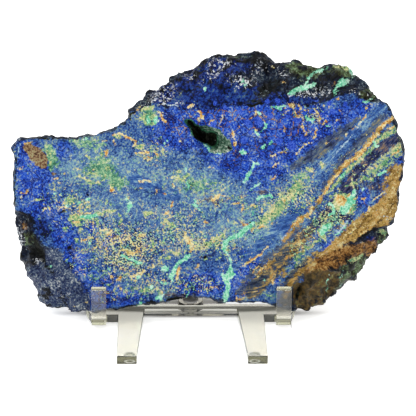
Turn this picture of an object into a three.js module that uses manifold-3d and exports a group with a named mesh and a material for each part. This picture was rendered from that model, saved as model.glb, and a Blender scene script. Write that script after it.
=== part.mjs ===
// Azurite malachite slab standing in a clear acrylic display stand.
// Millimetres, +Z up, the slab's sawn face looks towards -Y.

import * as THREE from "three";
import { mergeVertices } from "three/addons/utils/BufferGeometryUtils.js";
import Module from "manifold-3d";

// Photograph to real size: the slab's face is seen almost square on
const PX_PER_MM = 2.0;
const FACE_PX = { x: 208, y: 312 };
const STAND_PX_X = 191;
const HUB_PX = { x: 208, y: 190 };

// Slab
const SLAB_THICKNESS = 26;
const LEAN = THREE.MathUtils.degToRad(24);
const SLAB_FOOT_Y = -11.0;
const SLAB_FOOT_LIFT = 8.4;
const SECTORS = 150;
const FACE_RINGS = [0.13, 0.25, 0.34, 0.41, 0.47, 0.53, 0.59, 0.65, 0.71, 0.78, 0.86, 0.93, 1];
const RIM_STEPS = 5;
const SIDE_STEPS = 3;
const BACK_RINGS = [0.8, 0.55, 0.28];
const WIDE_RIM = 22;
const LUMP_HEIGHT = 2.6;
const BACK_SETBACK = 2.2;
const ARCH = { px: 198, halfWidth: 18, rise: 3.2 };

// Stand, all of one sheet thickness
const SHEET = 4.5;
const GAP = 0.3;
const BUMPER = { radius: 2.8, height: 1.2, x: 30.7, y: -45.5 };
const BASE_Z = BUMPER.height + GAP;
const BASE_TOP = BASE_Z + SHEET;
const CROSSBAR_HALF = 23.4;
const CROSSBAR_DEPTH = 5.2;
const LEG = { inner: 27.2, outer: 37.0, shoulder: 36.7, front: -50.5 };
const STUB = { front: -6.9, outer: 42.5 };
const PRONG = { inner: 42.5, outer: 49.9, front: -15.9, top: 22.8, bend: 8 };
const PAD = { rear: 18.5, outer: 53.8, inner: 44 };
const LUG = { halfWidth: 6.2, rear: 13, thickness: 2.1 };
const SCREW = { y: 8.2, headRadius: 4, headHeight: 1.2, shank: 1.2 };
const REST = { halfWidth: 18, footY: 14.3, bend: 2, apexZ: 80, tailY: 90 };
const ROUND = 24;
const BEND_STEPS = 8;

// The slab's silhouette, clockwise from its left tip
const OUTLINE_PX = [
  [11, 148], [17.5, 139], [30, 138.2], [41, 137], [56, 138.4], [66, 138.7], [76, 138.2], [86.5, 135.1],
  [94, 136.4], [103, 131.7], [118, 126.4], [127.5, 119], [128.9, 110.5], [135, 105.9], [141, 101.9],
  [144, 97.3], [152, 91], [158, 89.9], [160, 85.8], [171.7, 78.9], [178, 73.5], [185, 70.3], [193.5, 69.2],
  [201.5, 64.6], [206.6, 60.3], [218.7, 55.2], [227.6, 54.2], [236, 54.9], [244, 52.7], [253.8, 51.4],
  [263.3, 53], [271.6, 57], [276.5, 62], [280.6, 63.5], [288, 61.8], [296.8, 60], [310.6, 65.3],
  [319, 68.8], [328, 64.9], [337.4, 63.8], [345, 64.9], [353.4, 67.6], [356.5, 73.7], [363, 80.6],
  [368, 86], [374, 92.8], [380, 99.7], [388.6, 104.4], [392.8, 109.7], [397, 126.4], [397.6, 132],
  [402, 138.5], [404.3, 145.5], [405.3, 155.7], [405.3, 166], [404.3, 176], [399, 191.4], [399.5, 200.4],
  [399, 209.3], [396.8, 217.5], [389, 228], [388.8, 233], [386.3, 238.6], [380.7, 242.8], [377, 248.4],
  [375, 253.3], [366.7, 261.8], [366, 266], [358.2, 280.7], [352.6, 281.4], [349, 286.3], [342, 291],
  [339.3, 291.2], [331.6, 296.8], [326, 303], [318.2, 309], [311.4, 312.3], [302, 311.9], [295, 309.6],
  [277, 306], [262, 303], [235.8, 303], [218, 302.3], [208.3, 298.1], [193, 296.9], [181, 299.8],
  [166, 302.5], [144, 303.8], [134, 306.5], [120.5, 309.2], [108.5, 310], [90, 311.3], [73, 311],
  [56.5, 309], [48, 310.4], [40, 309.3], [36.5, 304], [36.5, 297.7], [34.5, 289.3], [31, 283],
  [26.5, 277], [22.8, 268], [21.4, 259], [20, 250], [16.7, 226], [14.6, 210], [12.3, 186], [13, 176],
  [14, 155.5],
];

// Where the flat sawn face ends and the broken rim begins
const FACE_EDGE_PX = [
  [12.5, 149], [18.5, 141], [41, 138.5], [76, 139.8], [103, 133.4], [118, 128.2], [127.5, 121], [131, 112],
  [140, 110], [157, 104], [166, 107.6], [177, 105.4], [188, 100], [200, 95.6], [210, 95], [228, 102.4],
  [250, 106], [260, 102.4], [270, 96], [280, 96], [294, 103], [306, 106.6], [323, 103.5], [334, 97.4],
  [343, 94.4], [353, 93.6], [360, 97.4], [370, 103], [382, 103], [387, 105.5], [391, 111], [395.4, 127],
  [399.5, 139], [403.6, 156], [402.6, 176], [397.3, 191.4], [397.5, 209], [394.8, 217], [389, 225.5],
  [377, 227], [367, 232], [356, 241], [343, 245], [335, 253], [318, 260], [307, 272], [304, 282],
  [293, 285], [291.5, 300], [288, 307], [277, 305], [262, 302], [235.8, 302], [218, 301.3], [208.3, 297.1],
  [193, 295.9], [181, 298.8], [166, 301.5], [144, 302.8], [120.5, 308.2], [108.5, 309], [91, 310.3],
  [89, 301], [82, 287], [76, 279], [69, 268], [61, 260], [62, 254], [59, 249], [52, 248], [43, 245],
  [34, 233], [34, 222], [30, 214], [15.5, 210], [13.5, 186], [14.2, 176], [15.2, 155.5],
];

// Hollows and knobs in the front: place, reach along and across in mm, turn in degrees, height in mm
const RELIEF = [
  { px: [195, 130], along: 6.2, across: 1.7, turn: -47, height: -6 },
  { px: [207, 138], along: 5.6, across: 4.0, turn: -25, height: -9 },
  { px: [221, 146], along: 5.2, across: 3.6, turn: -30, height: -3.6 },
  { px: [202, 125], along: 2.6, across: 2.2, turn: -30, height: -2 },
  { px: [57, 254], along: 3.4, across: 2.6, turn: 20, height: 2.4 },
  { px: [40, 253], along: 5.2, across: 3.4, turn: -60, height: -3.2 },
  { px: [27, 234], along: 5.0, across: 3.4, turn: 70, height: 1.4 },
  { px: [313, 286], along: 9.0, across: 5.2, turn: 60, height: 1.8 },
  { px: [298, 292], along: 3.2, across: 2.0, turn: 70, height: -2.6 },
  { px: [352, 262], along: 7.5, across: 3.6, turn: 35, height: 1.2 },
  { px: [366, 95], along: 3.2, across: 3.2, turn: 0, height: 1.6 },
  { px: [232, 78], along: 9.0, across: 4.6, turn: 8, height: 1.8 },
  { px: [265, 72], along: 6.5, across: 4.0, turn: -15, height: -1.6 },
  { px: [188, 84], along: 7.0, across: 3.6, turn: 25, height: 1.6 },
];

const STONE = { name: "stone", color: 0x2c4a9c, roughness: 0.6, metalness: 0 };
const ACRYLIC = {
  name: "acrylic", color: 0xeef2ee, roughness: 0.08, metalness: 0, transparent: true, opacity: 0.4,
};
const SOFT_PVC = { name: "soft_pvc", color: 0xd8dcd8, roughness: 0.45, metalness: 0 };

const wasm = await Module();
wasm.setup();

function toFace([x, y]) {
  return new THREE.Vector2((x - FACE_PX.x) / PX_PER_MM, (FACE_PX.y - y) / PX_PER_MM);
}

const HUB = toFace([HUB_PX.x, HUB_PX.y]);
const OUTLINE = OUTLINE_PX.map(toFace);
const FACE_EDGE = FACE_EDGE_PX.map(toFace);

// Directions from the hub, so spaced that the outline is cut in equal steps
function sectorAngles(outline, count) {
  const closed = [...outline, outline[0]];
  const lengths = closed.slice(1).map((point, i) => point.distanceTo(closed[i]));
  const step = lengths.reduce((sum, length) => sum + length, 0) / count;
  const angles = [];
  let walked = 0;
  lengths.forEach((length, i) => {
    while (angles.length < count && angles.length * step <= walked + length) {
      const share = (angles.length * step - walked) / length;
      const point = closed[i].clone().lerp(closed[i + 1], share).sub(HUB);
      angles.push(Math.atan2(point.y, point.x));
    }
    walked += length;
  });
  return angles;
}

// Distance from the hub to a closed outline in one direction
function reach(outline, angle) {
  const ray = new THREE.Vector2(Math.cos(angle), Math.sin(angle));
  let best = 0;
  outline.forEach((point, i) => {
    const start = point.clone().sub(HUB);
    const edge = outline[(i + 1) % outline.length].clone().sub(point);
    const across = ray.cross(edge);
    if (Math.abs(across) < 1e-9) return;
    const share = ray.cross(start) / -across;
    const distance = start.cross(edge) / across;
    if (share >= 0 && share <= 1 && distance > best) best = distance;
  });
  return best;
}

// Broken rock, from -1 to 1: broad swells with creased ledges and chips across them
function lumps(x, y, z) {
  const broad = Math.sin(0.19 * x + 0.9 * Math.sin(0.13 * y + 0.24 * z)) * Math.cos(0.17 * y - 0.21 * z);
  const ledge = 1 - 2 * Math.abs(Math.sin(0.3 * x + 0.16 * z + 0.8 * Math.sin(0.21 * y + 0.1 * x)));
  const chips = 1 - 2 * Math.abs(Math.sin(0.4 * z - 0.2 * x + 1.1 * Math.sin(0.3 * x + 0.34 * y)));
  return 0.4 * broad + 0.35 * ledge + 0.25 * chips;
}

function relief(u, v) {
  return RELIEF.reduce((sum, spot) => {
    const turn = THREE.MathUtils.degToRad(spot.turn);
    const offset = new THREE.Vector2(u, v).sub(toFace(spot.px)).rotateAround(new THREE.Vector2(), -turn);
    const far = (offset.x / spot.along) ** 2 + (offset.y / spot.across) ** 2;
    return sum + spot.height * Math.exp(-(far ** 1.6));
  }, 0);
}

// No part of the slab sinks below the sheet that it stands on, and it arches over the screw
function lowest(u, depth) {
  const arch = ARCH.rise * Math.exp(-(((u - toFace([ARCH.px, 0]).x) / ARCH.halfWidth) ** 4));
  const room = (depth / SLAB_THICKNESS) * arch;
  return (room + GAP - SLAB_FOOT_LIFT + SHEET + depth * Math.sin(LEAN)) / Math.cos(LEAN);
}

// One point of the slab: x along the face, y back from the face, z up the face
function slabPoint(angle, radius, depth, rough, toldRelief) {
  const u = HUB.x + radius * Math.cos(angle);
  const v = HUB.y + radius * Math.sin(angle);
  const push = rough * LUMP_HEIGHT * lumps(u, v, depth);
  const height = toldRelief ? relief(u, v) : 0;
  const out = [u + push * Math.cos(angle), depth - height - 0.4 * push, v + push * Math.sin(angle)];
  out[2] = Math.max(out[2], lowest(out[0], Math.max(out[1], 0)));
  return out;
}

// The rings of one sector, from the hub over the face, the rim and the back
function slabColumn(angle) {
  const edge = reach(OUTLINE, angle);
  const face = Math.min(reach(FACE_EDGE, angle), edge - 0.4);
  const rim = edge - face;
  const rimDepth = SLAB_THICKNESS * (0.22 + 0.6 * Math.min(rim / WIDE_RIM, 1));
  const back = edge - BACK_SETBACK - 0.2 * rim;
  const column = FACE_RINGS.map((share) => slabPoint(angle, face * share, 0, 0, share < 0.97));
  for (let i = 1; i <= RIM_STEPS; i += 1) {
    const turn = ((i / RIM_STEPS) * Math.PI) / 2;
    const depth = rimDepth * (0.5 * (i / RIM_STEPS) + 0.5 * (1 - Math.cos(turn)));
    const rough = Math.sin((i / (RIM_STEPS + 0.4)) * Math.PI) * Math.min(rim / 4, 1);
    column.push(slabPoint(angle, face + rim * Math.sin(turn), depth, rough, i < RIM_STEPS));
  }
  for (let i = 1; i <= SIDE_STEPS; i += 1) {
    const turn = ((i / SIDE_STEPS) * Math.PI) / 2;
    const depth = rimDepth + (SLAB_THICKNESS - rimDepth) * Math.sin(turn);
    const rough = i < SIDE_STEPS ? 0.55 : 0;
    column.push(slabPoint(angle, back + (edge - back) * Math.cos(turn), depth, rough, false));
  }
  BACK_RINGS.forEach((share) => column.push(slabPoint(angle, back * share, SLAB_THICKNESS, 0, false)));
  return column;
}

function makeSlab() {
  const columns = sectorAngles(OUTLINE, SECTORS).map(slabColumn);
  const rings = columns[0].length;
  const positions = columns.flat(2);
  const frontHub = SECTORS * rings;
  positions.push(HUB.x, -relief(HUB.x, HUB.y), HUB.y, HUB.x, SLAB_THICKNESS, HUB.y);
  const index = [];
  for (let i = 0; i < SECTORS; i += 1) {
    const here = i * rings;
    const next = ((i + 1) % SECTORS) * rings;
    index.push(frontHub, next, here);
    for (let k = 0; k < rings - 1; k += 1) {
      index.push(here + k, next + k + 1, here + k + 1);
      index.push(here + k, next + k, next + k + 1);
    }
    index.push(here + rings - 1, next + rings - 1, frontHub + 1);
  }
  const geometry = new THREE.BufferGeometry();
  geometry.setAttribute("position", new THREE.Float32BufferAttribute(positions, 3));
  geometry.setIndex(index);
  return geometry;
}

function toSolid(geometry) {
  const plain = geometry.clone();
  plain.deleteAttribute("normal");
  plain.deleteAttribute("uv");
  const merged = mergeVertices(plain, 1e-4);
  return new wasm.Manifold(new wasm.Mesh({
    numProp: 3,
    vertProperties: new Float32Array(merged.attributes.position.array),
    triVerts: new Uint32Array(merged.index.array),
  }));
}

function toGeometry(solid) {
  const mesh = solid.getMesh();
  const geometry = new THREE.BufferGeometry();
  geometry.setAttribute("position", new THREE.BufferAttribute(mesh.vertProperties, 3));
  geometry.setIndex(new THREE.BufferAttribute(mesh.triVerts, 1));
  return geometry;
}

function sheetOf(shape, z, height) {
  const geometry = new THREE.ExtrudeGeometry(shape, { depth: height, bevelEnabled: false, curveSegments: 6 });
  return geometry.translate(0, 0, z);
}

// A side profile drawn in Y and Z, made as wide as the strip it is bent from
function stripOf(profile, fromX, toX) {
  const options = { depth: toX - fromX, bevelEnabled: false, curveSegments: 8 };
  const geometry = new THREE.ExtrudeGeometry(profile, options);
  geometry.applyMatrix4(new THREE.Matrix4().makeBasis(
    new THREE.Vector3(0, 1, 0), new THREE.Vector3(0, 0, 1), new THREE.Vector3(1, 0, 0),
  ));
  return geometry.translate(fromX, 0, 0);
}

function basePlan() {
  const right = [
    [CROSSBAR_HALF, 0], [LEG.inner, LEG.front], [LEG.outer, LEG.front], [LEG.shoulder, STUB.front],
    [STUB.outer, STUB.front], [PRONG.inner, PRONG.front + PRONG.bend - 0.5],
    [PRONG.outer, PRONG.front + PRONG.bend - 0.5], [51, -5.2], [52.2, -1.7], [53, 2.6],
    [PAD.outer, 8], [PAD.outer, PAD.rear - 3], [PAD.outer - 3, PAD.rear], [PAD.inner, PAD.rear],
    [PAD.inner, CROSSBAR_DEPTH],
  ];
  const left = right.map(([x, y]) => [-x, y]).reverse();
  return new THREE.Shape([...right, ...left].map(([x, y]) => new THREE.Vector2(x, y)));
}

// The lip: up from the pad through a bend, seen from the side
function prongProfile() {
  const tangent = PRONG.front + PRONG.bend;
  const centreZ = BASE_Z + PRONG.bend;
  const shape = new THREE.Shape();
  shape.moveTo(tangent, BASE_TOP);
  shape.absarc(tangent, centreZ, PRONG.bend - SHEET, -Math.PI / 2, -Math.PI, true);
  shape.lineTo(PRONG.front + SHEET, BASE_Z + PRONG.top);
  shape.lineTo(PRONG.front, BASE_Z + PRONG.top);
  shape.lineTo(PRONG.front, centreZ);
  shape.absarc(tangent, centreZ, PRONG.bend, Math.PI, 1.5 * Math.PI, false);
  return shape;
}

function lugPlan(rear) {
  const shape = new THREE.Shape();
  shape.moveTo(-LUG.halfWidth, CROSSBAR_DEPTH - 1);
  shape.lineTo(LUG.halfWidth, CROSSBAR_DEPTH - 1);
  shape.lineTo(LUG.halfWidth, rear);
  shape.lineTo(-LUG.halfWidth, rear);
  return shape;
}

function screwHole(radius) {
  const geometry = new THREE.CylinderGeometry(radius, radius, 4 * SHEET, ROUND);
  return toSolid(geometry.rotateX(Math.PI / 2).translate(0, SCREW.y, BASE_Z));
}

function makeBase() {
  let solid = toSolid(sheetOf(basePlan(), BASE_Z, SHEET));
  [[PRONG.inner, PRONG.outer], [-PRONG.outer, -PRONG.inner]].forEach(([from, to]) => {
    solid = solid.add(toSolid(stripOf(prongProfile(), from, to)));
  });
  solid = solid.add(toSolid(sheetOf(lugPlan(LUG.rear), BASE_TOP - LUG.thickness, LUG.thickness)));
  return toGeometry(solid.subtract(screwHole(SCREW.shank + GAP)));
}

// A strip of sheet bent along a line of corners in Y and Z, its last end cut level with the ground
function bentStrip(corners, radius) {
  const sides = [[], []];
  const put = (point, angle, slide = 0) => {
    const along = new THREE.Vector2(Math.cos(angle), Math.sin(angle));
    [SHEET / 2, -SHEET / 2].forEach((offset, side) => {
      const edge = point.clone().add(new THREE.Vector2(-along.y, along.x).multiplyScalar(offset));
      if (slide) edge.addScaledVector(along, -edge.y / along.y);
      sides[side].push(edge);
    });
  };
  const heading = corners.slice(1).map((corner, i) => corner.clone().sub(corners[i]).angle());
  put(corners[0], heading[0]);
  for (let i = 1; i < corners.length - 1; i += 1) {
    let turn = heading[i] - heading[i - 1];
    if (turn > Math.PI) turn -= 2 * Math.PI;
    const start = new THREE.Vector2(-radius * Math.tan(Math.abs(turn) / 2), 0)
      .rotateAround(new THREE.Vector2(), heading[i - 1]).add(corners[i]);
    const toCentre = heading[i - 1] + Math.sign(turn) * (Math.PI / 2);
    const centre = new THREE.Vector2(radius, 0).rotateAround(new THREE.Vector2(), toCentre).add(start);
    for (let k = 0; k <= BEND_STEPS; k += 1) {
      const turned = (turn * k) / BEND_STEPS;
      put(start.clone().rotateAround(centre, turned), heading[i - 1] + turned);
    }
  }
  put(corners.at(-1), heading.at(-1), 1);
  return new THREE.Shape([...sides[1], ...sides[0].reverse()]);
}

// The back rest is one strip: a lapped foot, a leaning front leg, a fold and a rear leg
function restProfile() {
  const middle = SHEET / 2;
  const cornerY = REST.footY + middle * Math.tan(LEAN) + middle / Math.cos(LEAN);
  const apexY = cornerY + (REST.apexZ - middle - BASE_Z) * Math.tan(LEAN);
  return bentStrip([
    new THREE.Vector2(LUG.rear + GAP, BASE_Z + middle), new THREE.Vector2(cornerY, BASE_Z + middle),
    new THREE.Vector2(apexY, REST.apexZ), new THREE.Vector2(REST.tailY, 0),
  ], REST.bend + middle);
}

function makeBackRest() {
  const strip = toSolid(stripOf(restProfile(), -REST.halfWidth, REST.halfWidth));
  const tab = new THREE.Shape();
  const tabFront = CROSSBAR_DEPTH + GAP + LUG.halfWidth;
  tab.moveTo(LUG.halfWidth, LUG.rear + 1);
  tab.lineTo(-LUG.halfWidth, LUG.rear + 1);
  tab.lineTo(-LUG.halfWidth, tabFront);
  tab.absarc(0, tabFront, LUG.halfWidth, Math.PI, 2 * Math.PI, false);
  const tabHeight = SHEET - LUG.thickness - GAP;
  const lapped = strip.add(toSolid(sheetOf(tab, BASE_Z, tabHeight)));
  return toGeometry(lapped.subtract(screwHole(SCREW.shank + GAP)));
}

// Pan head and shank, turned about Z
function makeScrew() {
  const headZ = BASE_TOP + GAP;
  const profile = [
    [0, BASE_Z + 0.4], [SCREW.shank * 0.6, BASE_Z + 0.4], [SCREW.shank, BASE_Z + 0.9], [SCREW.shank, headZ],
    [SCREW.headRadius, headZ], [SCREW.headRadius, headZ + 0.5 * SCREW.headHeight],
    [0.7 * SCREW.headRadius, headZ + SCREW.headHeight], [0, headZ + SCREW.headHeight],
  ].map(([r, z]) => new THREE.Vector2(r, z));
  return new THREE.LatheGeometry(profile, ROUND).rotateX(Math.PI / 2);
}

function makeBumper() {
  const profile = [
    [0, 0], [BUMPER.radius - 0.5, 0], [BUMPER.radius, 0.4], [BUMPER.radius, BUMPER.height], [0, BUMPER.height],
  ].map(([r, z]) => new THREE.Vector2(r, z));
  return new THREE.LatheGeometry(profile, ROUND).rotateX(Math.PI / 2);
}

function addPiece(group, name, geometry, look, place = [0, 0, 0]) {
  const mesh = new THREE.Mesh(geometry, new THREE.MeshStandardMaterial(look));
  mesh.name = name;
  mesh.position.set(...place);
  group.add(mesh);
  return mesh;
}

const part = new THREE.Group();
const slabX = (FACE_PX.x - STAND_PX_X) / PX_PER_MM;
const slab = addPiece(part, "slab", makeSlab(), STONE, [slabX, SLAB_FOOT_Y, BASE_Z + SLAB_FOOT_LIFT]);
slab.rotation.x = -LEAN;
addPiece(part, "stand_base", makeBase(), ACRYLIC);
addPiece(part, "back_rest", makeBackRest(), ACRYLIC);
addPiece(part, "screw", makeScrew(), ACRYLIC, [0, SCREW.y, 0]);
addPiece(part, "bumper_left", makeBumper(), SOFT_PVC, [-BUMPER.x, BUMPER.y, 0]);
addPiece(part, "bumper_right", makeBumper(), SOFT_PVC, [BUMPER.x, BUMPER.y, 0]);

// The origin is on the ground under the middle of the whole object
part.updateMatrixWorld(true);
const box = new THREE.Box3().setFromObject(part, true);
part.position.set(-(box.min.x + box.max.x) / 2, -(box.min.y + box.max.y) / 2, 0);

export default part;
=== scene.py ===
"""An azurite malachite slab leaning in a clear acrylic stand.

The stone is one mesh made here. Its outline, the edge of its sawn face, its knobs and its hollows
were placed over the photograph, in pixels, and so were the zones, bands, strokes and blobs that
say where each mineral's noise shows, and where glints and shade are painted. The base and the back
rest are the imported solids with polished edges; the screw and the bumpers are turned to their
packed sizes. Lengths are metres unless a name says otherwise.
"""

import math

import bmesh
import bpy
import numpy as np
from mathutils import Matrix, Vector
from mathutils.geometry import delaunay_2d_cdt


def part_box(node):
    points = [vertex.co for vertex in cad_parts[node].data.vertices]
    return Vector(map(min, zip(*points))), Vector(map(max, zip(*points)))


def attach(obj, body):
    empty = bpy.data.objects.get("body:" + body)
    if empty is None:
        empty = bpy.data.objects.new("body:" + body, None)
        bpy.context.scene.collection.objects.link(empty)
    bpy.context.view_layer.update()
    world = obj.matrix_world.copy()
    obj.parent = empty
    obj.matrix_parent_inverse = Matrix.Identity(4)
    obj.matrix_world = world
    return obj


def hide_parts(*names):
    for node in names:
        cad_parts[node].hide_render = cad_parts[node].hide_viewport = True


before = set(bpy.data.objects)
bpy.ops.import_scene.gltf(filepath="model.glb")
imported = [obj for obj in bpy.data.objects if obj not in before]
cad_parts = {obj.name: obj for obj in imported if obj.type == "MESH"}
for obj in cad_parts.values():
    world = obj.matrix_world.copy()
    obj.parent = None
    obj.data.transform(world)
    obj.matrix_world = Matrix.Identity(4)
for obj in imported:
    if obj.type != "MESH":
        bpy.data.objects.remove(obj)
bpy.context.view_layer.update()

bl_info = {
    "name": "Azurite malachite slab",
    "version": (1, 0, 0),
    "blender": (4, 5, 0),
    "location": "View3D > Sidebar > Slab",
    "description": "Builds a sawn azurite malachite slab in its clear stand",
    "category": "Add Mesh",
}

MM = 0.001
ROOT = "root"

# Photograph to real size: the foot of the face, the stone's hub and the stand's middle, in pixels
PX_PER_MM = 2.0
FACE_PX = (208.0, 312.0)
HUB_PX = (208.0, 190.0)
STAND_PX_X = 191.0

# The slab in its stand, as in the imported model
LEG_FRONT_MM = 50.5
SLAB_FOOT_MM = (-11.0, 8.4)
LEAN = math.radians(24)
THICKNESS_MM = 26.0
SHEET_MM = 4.5
GAP_MM = 0.3
# The low arch in the slab's underside, over the screw
ARCH_PX, ARCH_HALF_MM, ARCH_RISE_MM = 198.0, 18.0, 3.2
ARCH_FALLOFF = 4

# The broken rim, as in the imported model. It runs back by a share of the thickness, and by more of it
# the wider it is; the back face is drawn in by a length and by a share of the rim's width.
WIDE_RIM_MM = 22.0
RIM_DEPTH, WIDE_RIM_DEPTH = 0.22, 0.6
BACK_SETBACK_MM, BACK_SETBACK_SHARE = 2.2, 0.2
# Its lumps: their height, the width of rim that has them in full, how far over the rim they spread,
# their share on its outside and on the slab's side, and how far each also comes forward
LUMP_MM = 2.6
FULL_LUMPS_MM = 4
LUMP_SPREAD, OUTER_LUMPS, SIDE_LUMPS, LUMP_FORWARD = 1.1, 0.12, 0.5, 0.4

# Grit, which only this model has: lists of height, cell size in mm and seed. Heights are in mm, and
# in pixels where the markings wander.
OUTLINE_GRIT = [(0.25, 1.6, 5), (0.2, 0.8, 6)]
FACE_EDGE_GRIT = [(0.5, 2.6, 3)]
LEAST_RIM_MM = 0.4
WANDER_ACROSS_PX = [(1.1, 2.8, 21), (0.7, 1.3, 22)]
WANDER_DOWN_PX = [(1.1, 2.8, 23), (0.7, 1.3, 24)]
# The rim's crags: weights in place of heights, how steeply they fall from their crests, which level
# of them stays where the rim was, and how soon they are full as the rim gets lumpy
CRAG_GRIT = [(0.6, 7.4, 11), (0.5, 4.2, 12), (0.35, 2.2, 13), (0.25, 1.2, 14)]
CRAG_STEEPNESS, CRAG_LEVEL, CRAG_GAIN = 3.2, 0.55, 1.8
# Hollows in the face are rough inside, in full from this depth on: height, cell size and seed
HOLLOW_FULL_MM = 2.5
HOLLOW_GRIT = (1.1, 1.6, 31)
# Dark marks, cracks and painted shade lines alike, are cut this deep, and start this far outside the mark
CRACK_MM, CRACK_MARGIN_PX = 0.3, 0.4
KNOB_FALLOFF = 1.6
# Whole numbers that stir a cell's place and seed, and how far a seed moves the cells
STIR_PLACE = (374761393, 668265263, 1440662683)
STIR_SEED, STIR_AGAIN = 69069, 1274126177
SEED_SHIFT = 7.31

# Mesh of the stone: rings from the face's edge round the rim, and even points over face and back
SECTORS = 760
RIM_STEPS = 22
SIDE_STEPS = 6
FACE_STEP_MM = 0.53
BACK_STEP_MM = 1.7
# How far from the hub such points are looked for, and how clear of the edge they stay, in steps
SEARCH_HALF_MM = (160, 120)
EDGE_CLEARANCE = 0.75
# Stands for nothing, where something is divided by it or two points would be one
TINY = 1e-9

# Markings: how zones fade, how strong bands are and how wide their soft edges, the most a zone
# holds, and what a mark's field is well away from it
ZONE_FALLOFF = 2.4
BAND_STRENGTH = 1.1
BAND_EDGE_PX = 5.0
ZONE_LIMIT = 1.4
OFF_MARK = -9.0
# The rim's own colours fade in over this width; the even points this near the back have none of them
RIM_FADE_MM = 2.5
BACK_SKIN_MM = 0.3
# The bedding runs down to the right, round a bend about its middle, then up to the right
BEND_PX = (228.0, 85.0)
BEND_RADIUS_PX = 105.0
BEND_FROM, BEND_TO = math.radians(-16), math.radians(45)
# How much longer than wide the streaks of the bedding are, and how far broad patches shift a colour
STREAK_STRETCH = 3.0
BROAD_SHIFT = 0.45
# The azurite's nodules, the rim's crystal faces, and how far off its middle a noise has worm tracks
NODULE_MM = 4.2
FACETS_PER_MM = 0.9
WORM_HALF_WIDTH = 0.035
# How high the grain stands for the light
GRAIN_MM, GRAIN_STRENGTH = 0.5, 0.5

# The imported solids: corners this near are one, faces this even are one, and edges from this sharp
# on are rounded in this many facets
WELD = 1e-6
EVEN_WITHIN = math.radians(2)
SHARP_FROM = math.radians(35)
EDGE_FACETS = 3
ACRYLIC_IOR = 1.49
# Handling marks on the sheet: about how far apart, and how much rougher they are
HANDLING_MM = 6.25
HANDLING_ROUGHNESS = 0.05
# A low face of the back rest whose normal runs this far along Y is its sawn end
FORWARD = -0.8

# The screw's head: its height, where its side starts and ends above its seat, and as shares of its
# radius the seat and the round of its top. Its tip, as a height and a share of the core's radius.
HEAD_MM, SIDE_FROM_MM, SIDE_TO_MM = 1.2, 0.2, 0.7
HEAD_SEAT, HEAD_ROUND, HEAD_FACETS = 0.96, 0.12, 4
TIP_MM, TIP_SHARE = 0.2, 0.5
# Its thread: radii of core and crest, pitch, and where the crest starts and ends and the core is
# reached again, as shares of the pitch
CORE_MM, CREST_MM, PITCH_MM = 0.95, 1.2, 0.7
CREST_FROM, CREST_TO, CORE_FROM = 0.4, 0.5, 0.9
SCREW_SHARP_FROM = math.radians(40)

# A bumper's profile up to its top: shares of its radius and of its height. Its glued ring lies
# between two shares of the radius and presses this far into the leg, round a middle that doesn't.
BUMPER_PROFILE = [(0.62, 0), (0.82, 0.06), (0.94, 0.25), (1, 0.6), (1, 1)]
GLUE_MM = 0.06
GLUE_RING = (0.97, 0.6)
BUMPER_MIDDLE = 0.55
BUMPER_SIDES = 40
BUMPER_SHARP_FROM = math.radians(50)
# How wide the clouds in the soft plastic are
PVC_CLOUD_MM = 1 / 0.7

# The slab's middle, at which the camera looks
AIM_MM = (-0.4, -20.0, 61.7)
# The stone's deep shade on the table: its middle, its half size, and the shares of that at which it
# starts to fade and is gone
SHADE_AT_MM = Vector((-8.6, -14.5, 0))
SHADE_HALF_MM = (60, 4.5, 1)
SHADE_FADE = (0.7, 1.3)
FLOOR_HALF = 4.0
# The studio's soft boxes: place, size and power in watts
SOFT_BOXES = {
    "top_box": ((-0.1, -0.05, 1.1), (0.9, 0.7), 8),
    "key_box": ((-0.6, -0.6, 0.8), (0.4, 0.3), 2.5),
}

# The slab's silhouette, clockwise from its left tip, in pixels
OUTLINE_PX = [
    (11, 148), (17.5, 139), (30, 138.2), (41, 137), (48, 137.4), (56, 138.4), (66, 138.7), (76, 138.2),
    (86.5, 135.1), (94, 136.4), (103, 131.7), (118, 126.4), (127.5, 119), (129.2, 115.7), (128.9, 110.5),
    (135, 105.9), (141, 101.9), (144, 97.3), (152, 91), (158, 89.9), (160, 85.8), (171.7, 78.9),
    (178, 73.5), (185, 70.3), (193.5, 69.2), (201.5, 64.6), (206.6, 60.3), (212.3, 56.8), (218.7, 55.2),
    (227.6, 54.2), (236, 54.9), (244, 52.7), (253.8, 51.4), (263.3, 53), (271.6, 57), (276.5, 62),
    (280.6, 63.5), (288, 61.8), (296.8, 60), (302, 62.6), (310.6, 65.3), (319, 68.8), (328, 64.9),
    (337.4, 63.8), (345, 64.9), (353.4, 67.6), (356.5, 73.7), (361, 76.8), (363, 80.6), (368, 86),
    (374, 92.8), (380, 99.7), (388.6, 104.4), (392.8, 109.7), (394.8, 117.3), (397, 126.4), (397.6, 132),
    (402, 138.5), (404.3, 145.5), (405.3, 155.7), (405.3, 166), (404.3, 176), (400.8, 185), (399, 191.4),
    (399.5, 200.4), (399, 209.3), (396.8, 217.5), (392.6, 223.9), (389, 228), (388.8, 233),
    (386.3, 238.6), (380.7, 242.8), (377, 248.4), (375, 253.3), (371, 256.8), (366.7, 261.8), (366, 266),
    (361.8, 273), (358.2, 280.7), (352.6, 281.4), (349, 286.3), (342, 291), (339.3, 291.2),
    (331.6, 296.8), (326, 303), (318.2, 309), (311.4, 312.3), (302, 311.9), (295, 309.6), (277, 306),
    (262, 303), (235.8, 303), (218, 302.3), (208.3, 298.1), (200, 297.5), (193, 296.9), (181, 299.8),
    (166, 302.5), (154, 303.8), (144, 303.8), (134, 306.5), (120.5, 309.2), (108.5, 310), (90, 311.3),
    (81, 310.4), (73, 311), (65, 309.7), (56.5, 309), (48, 310.4), (40, 309.3), (36.5, 304),
    (36.5, 297.7), (34.5, 289.3), (31, 283), (26.5, 277), (22.8, 268), (21.4, 259), (20, 250),
    (16.7, 226), (14.6, 210), (13, 198.5), (12.3, 186), (13, 176), (13.8, 165.7), (14, 155.5),
]

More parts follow.
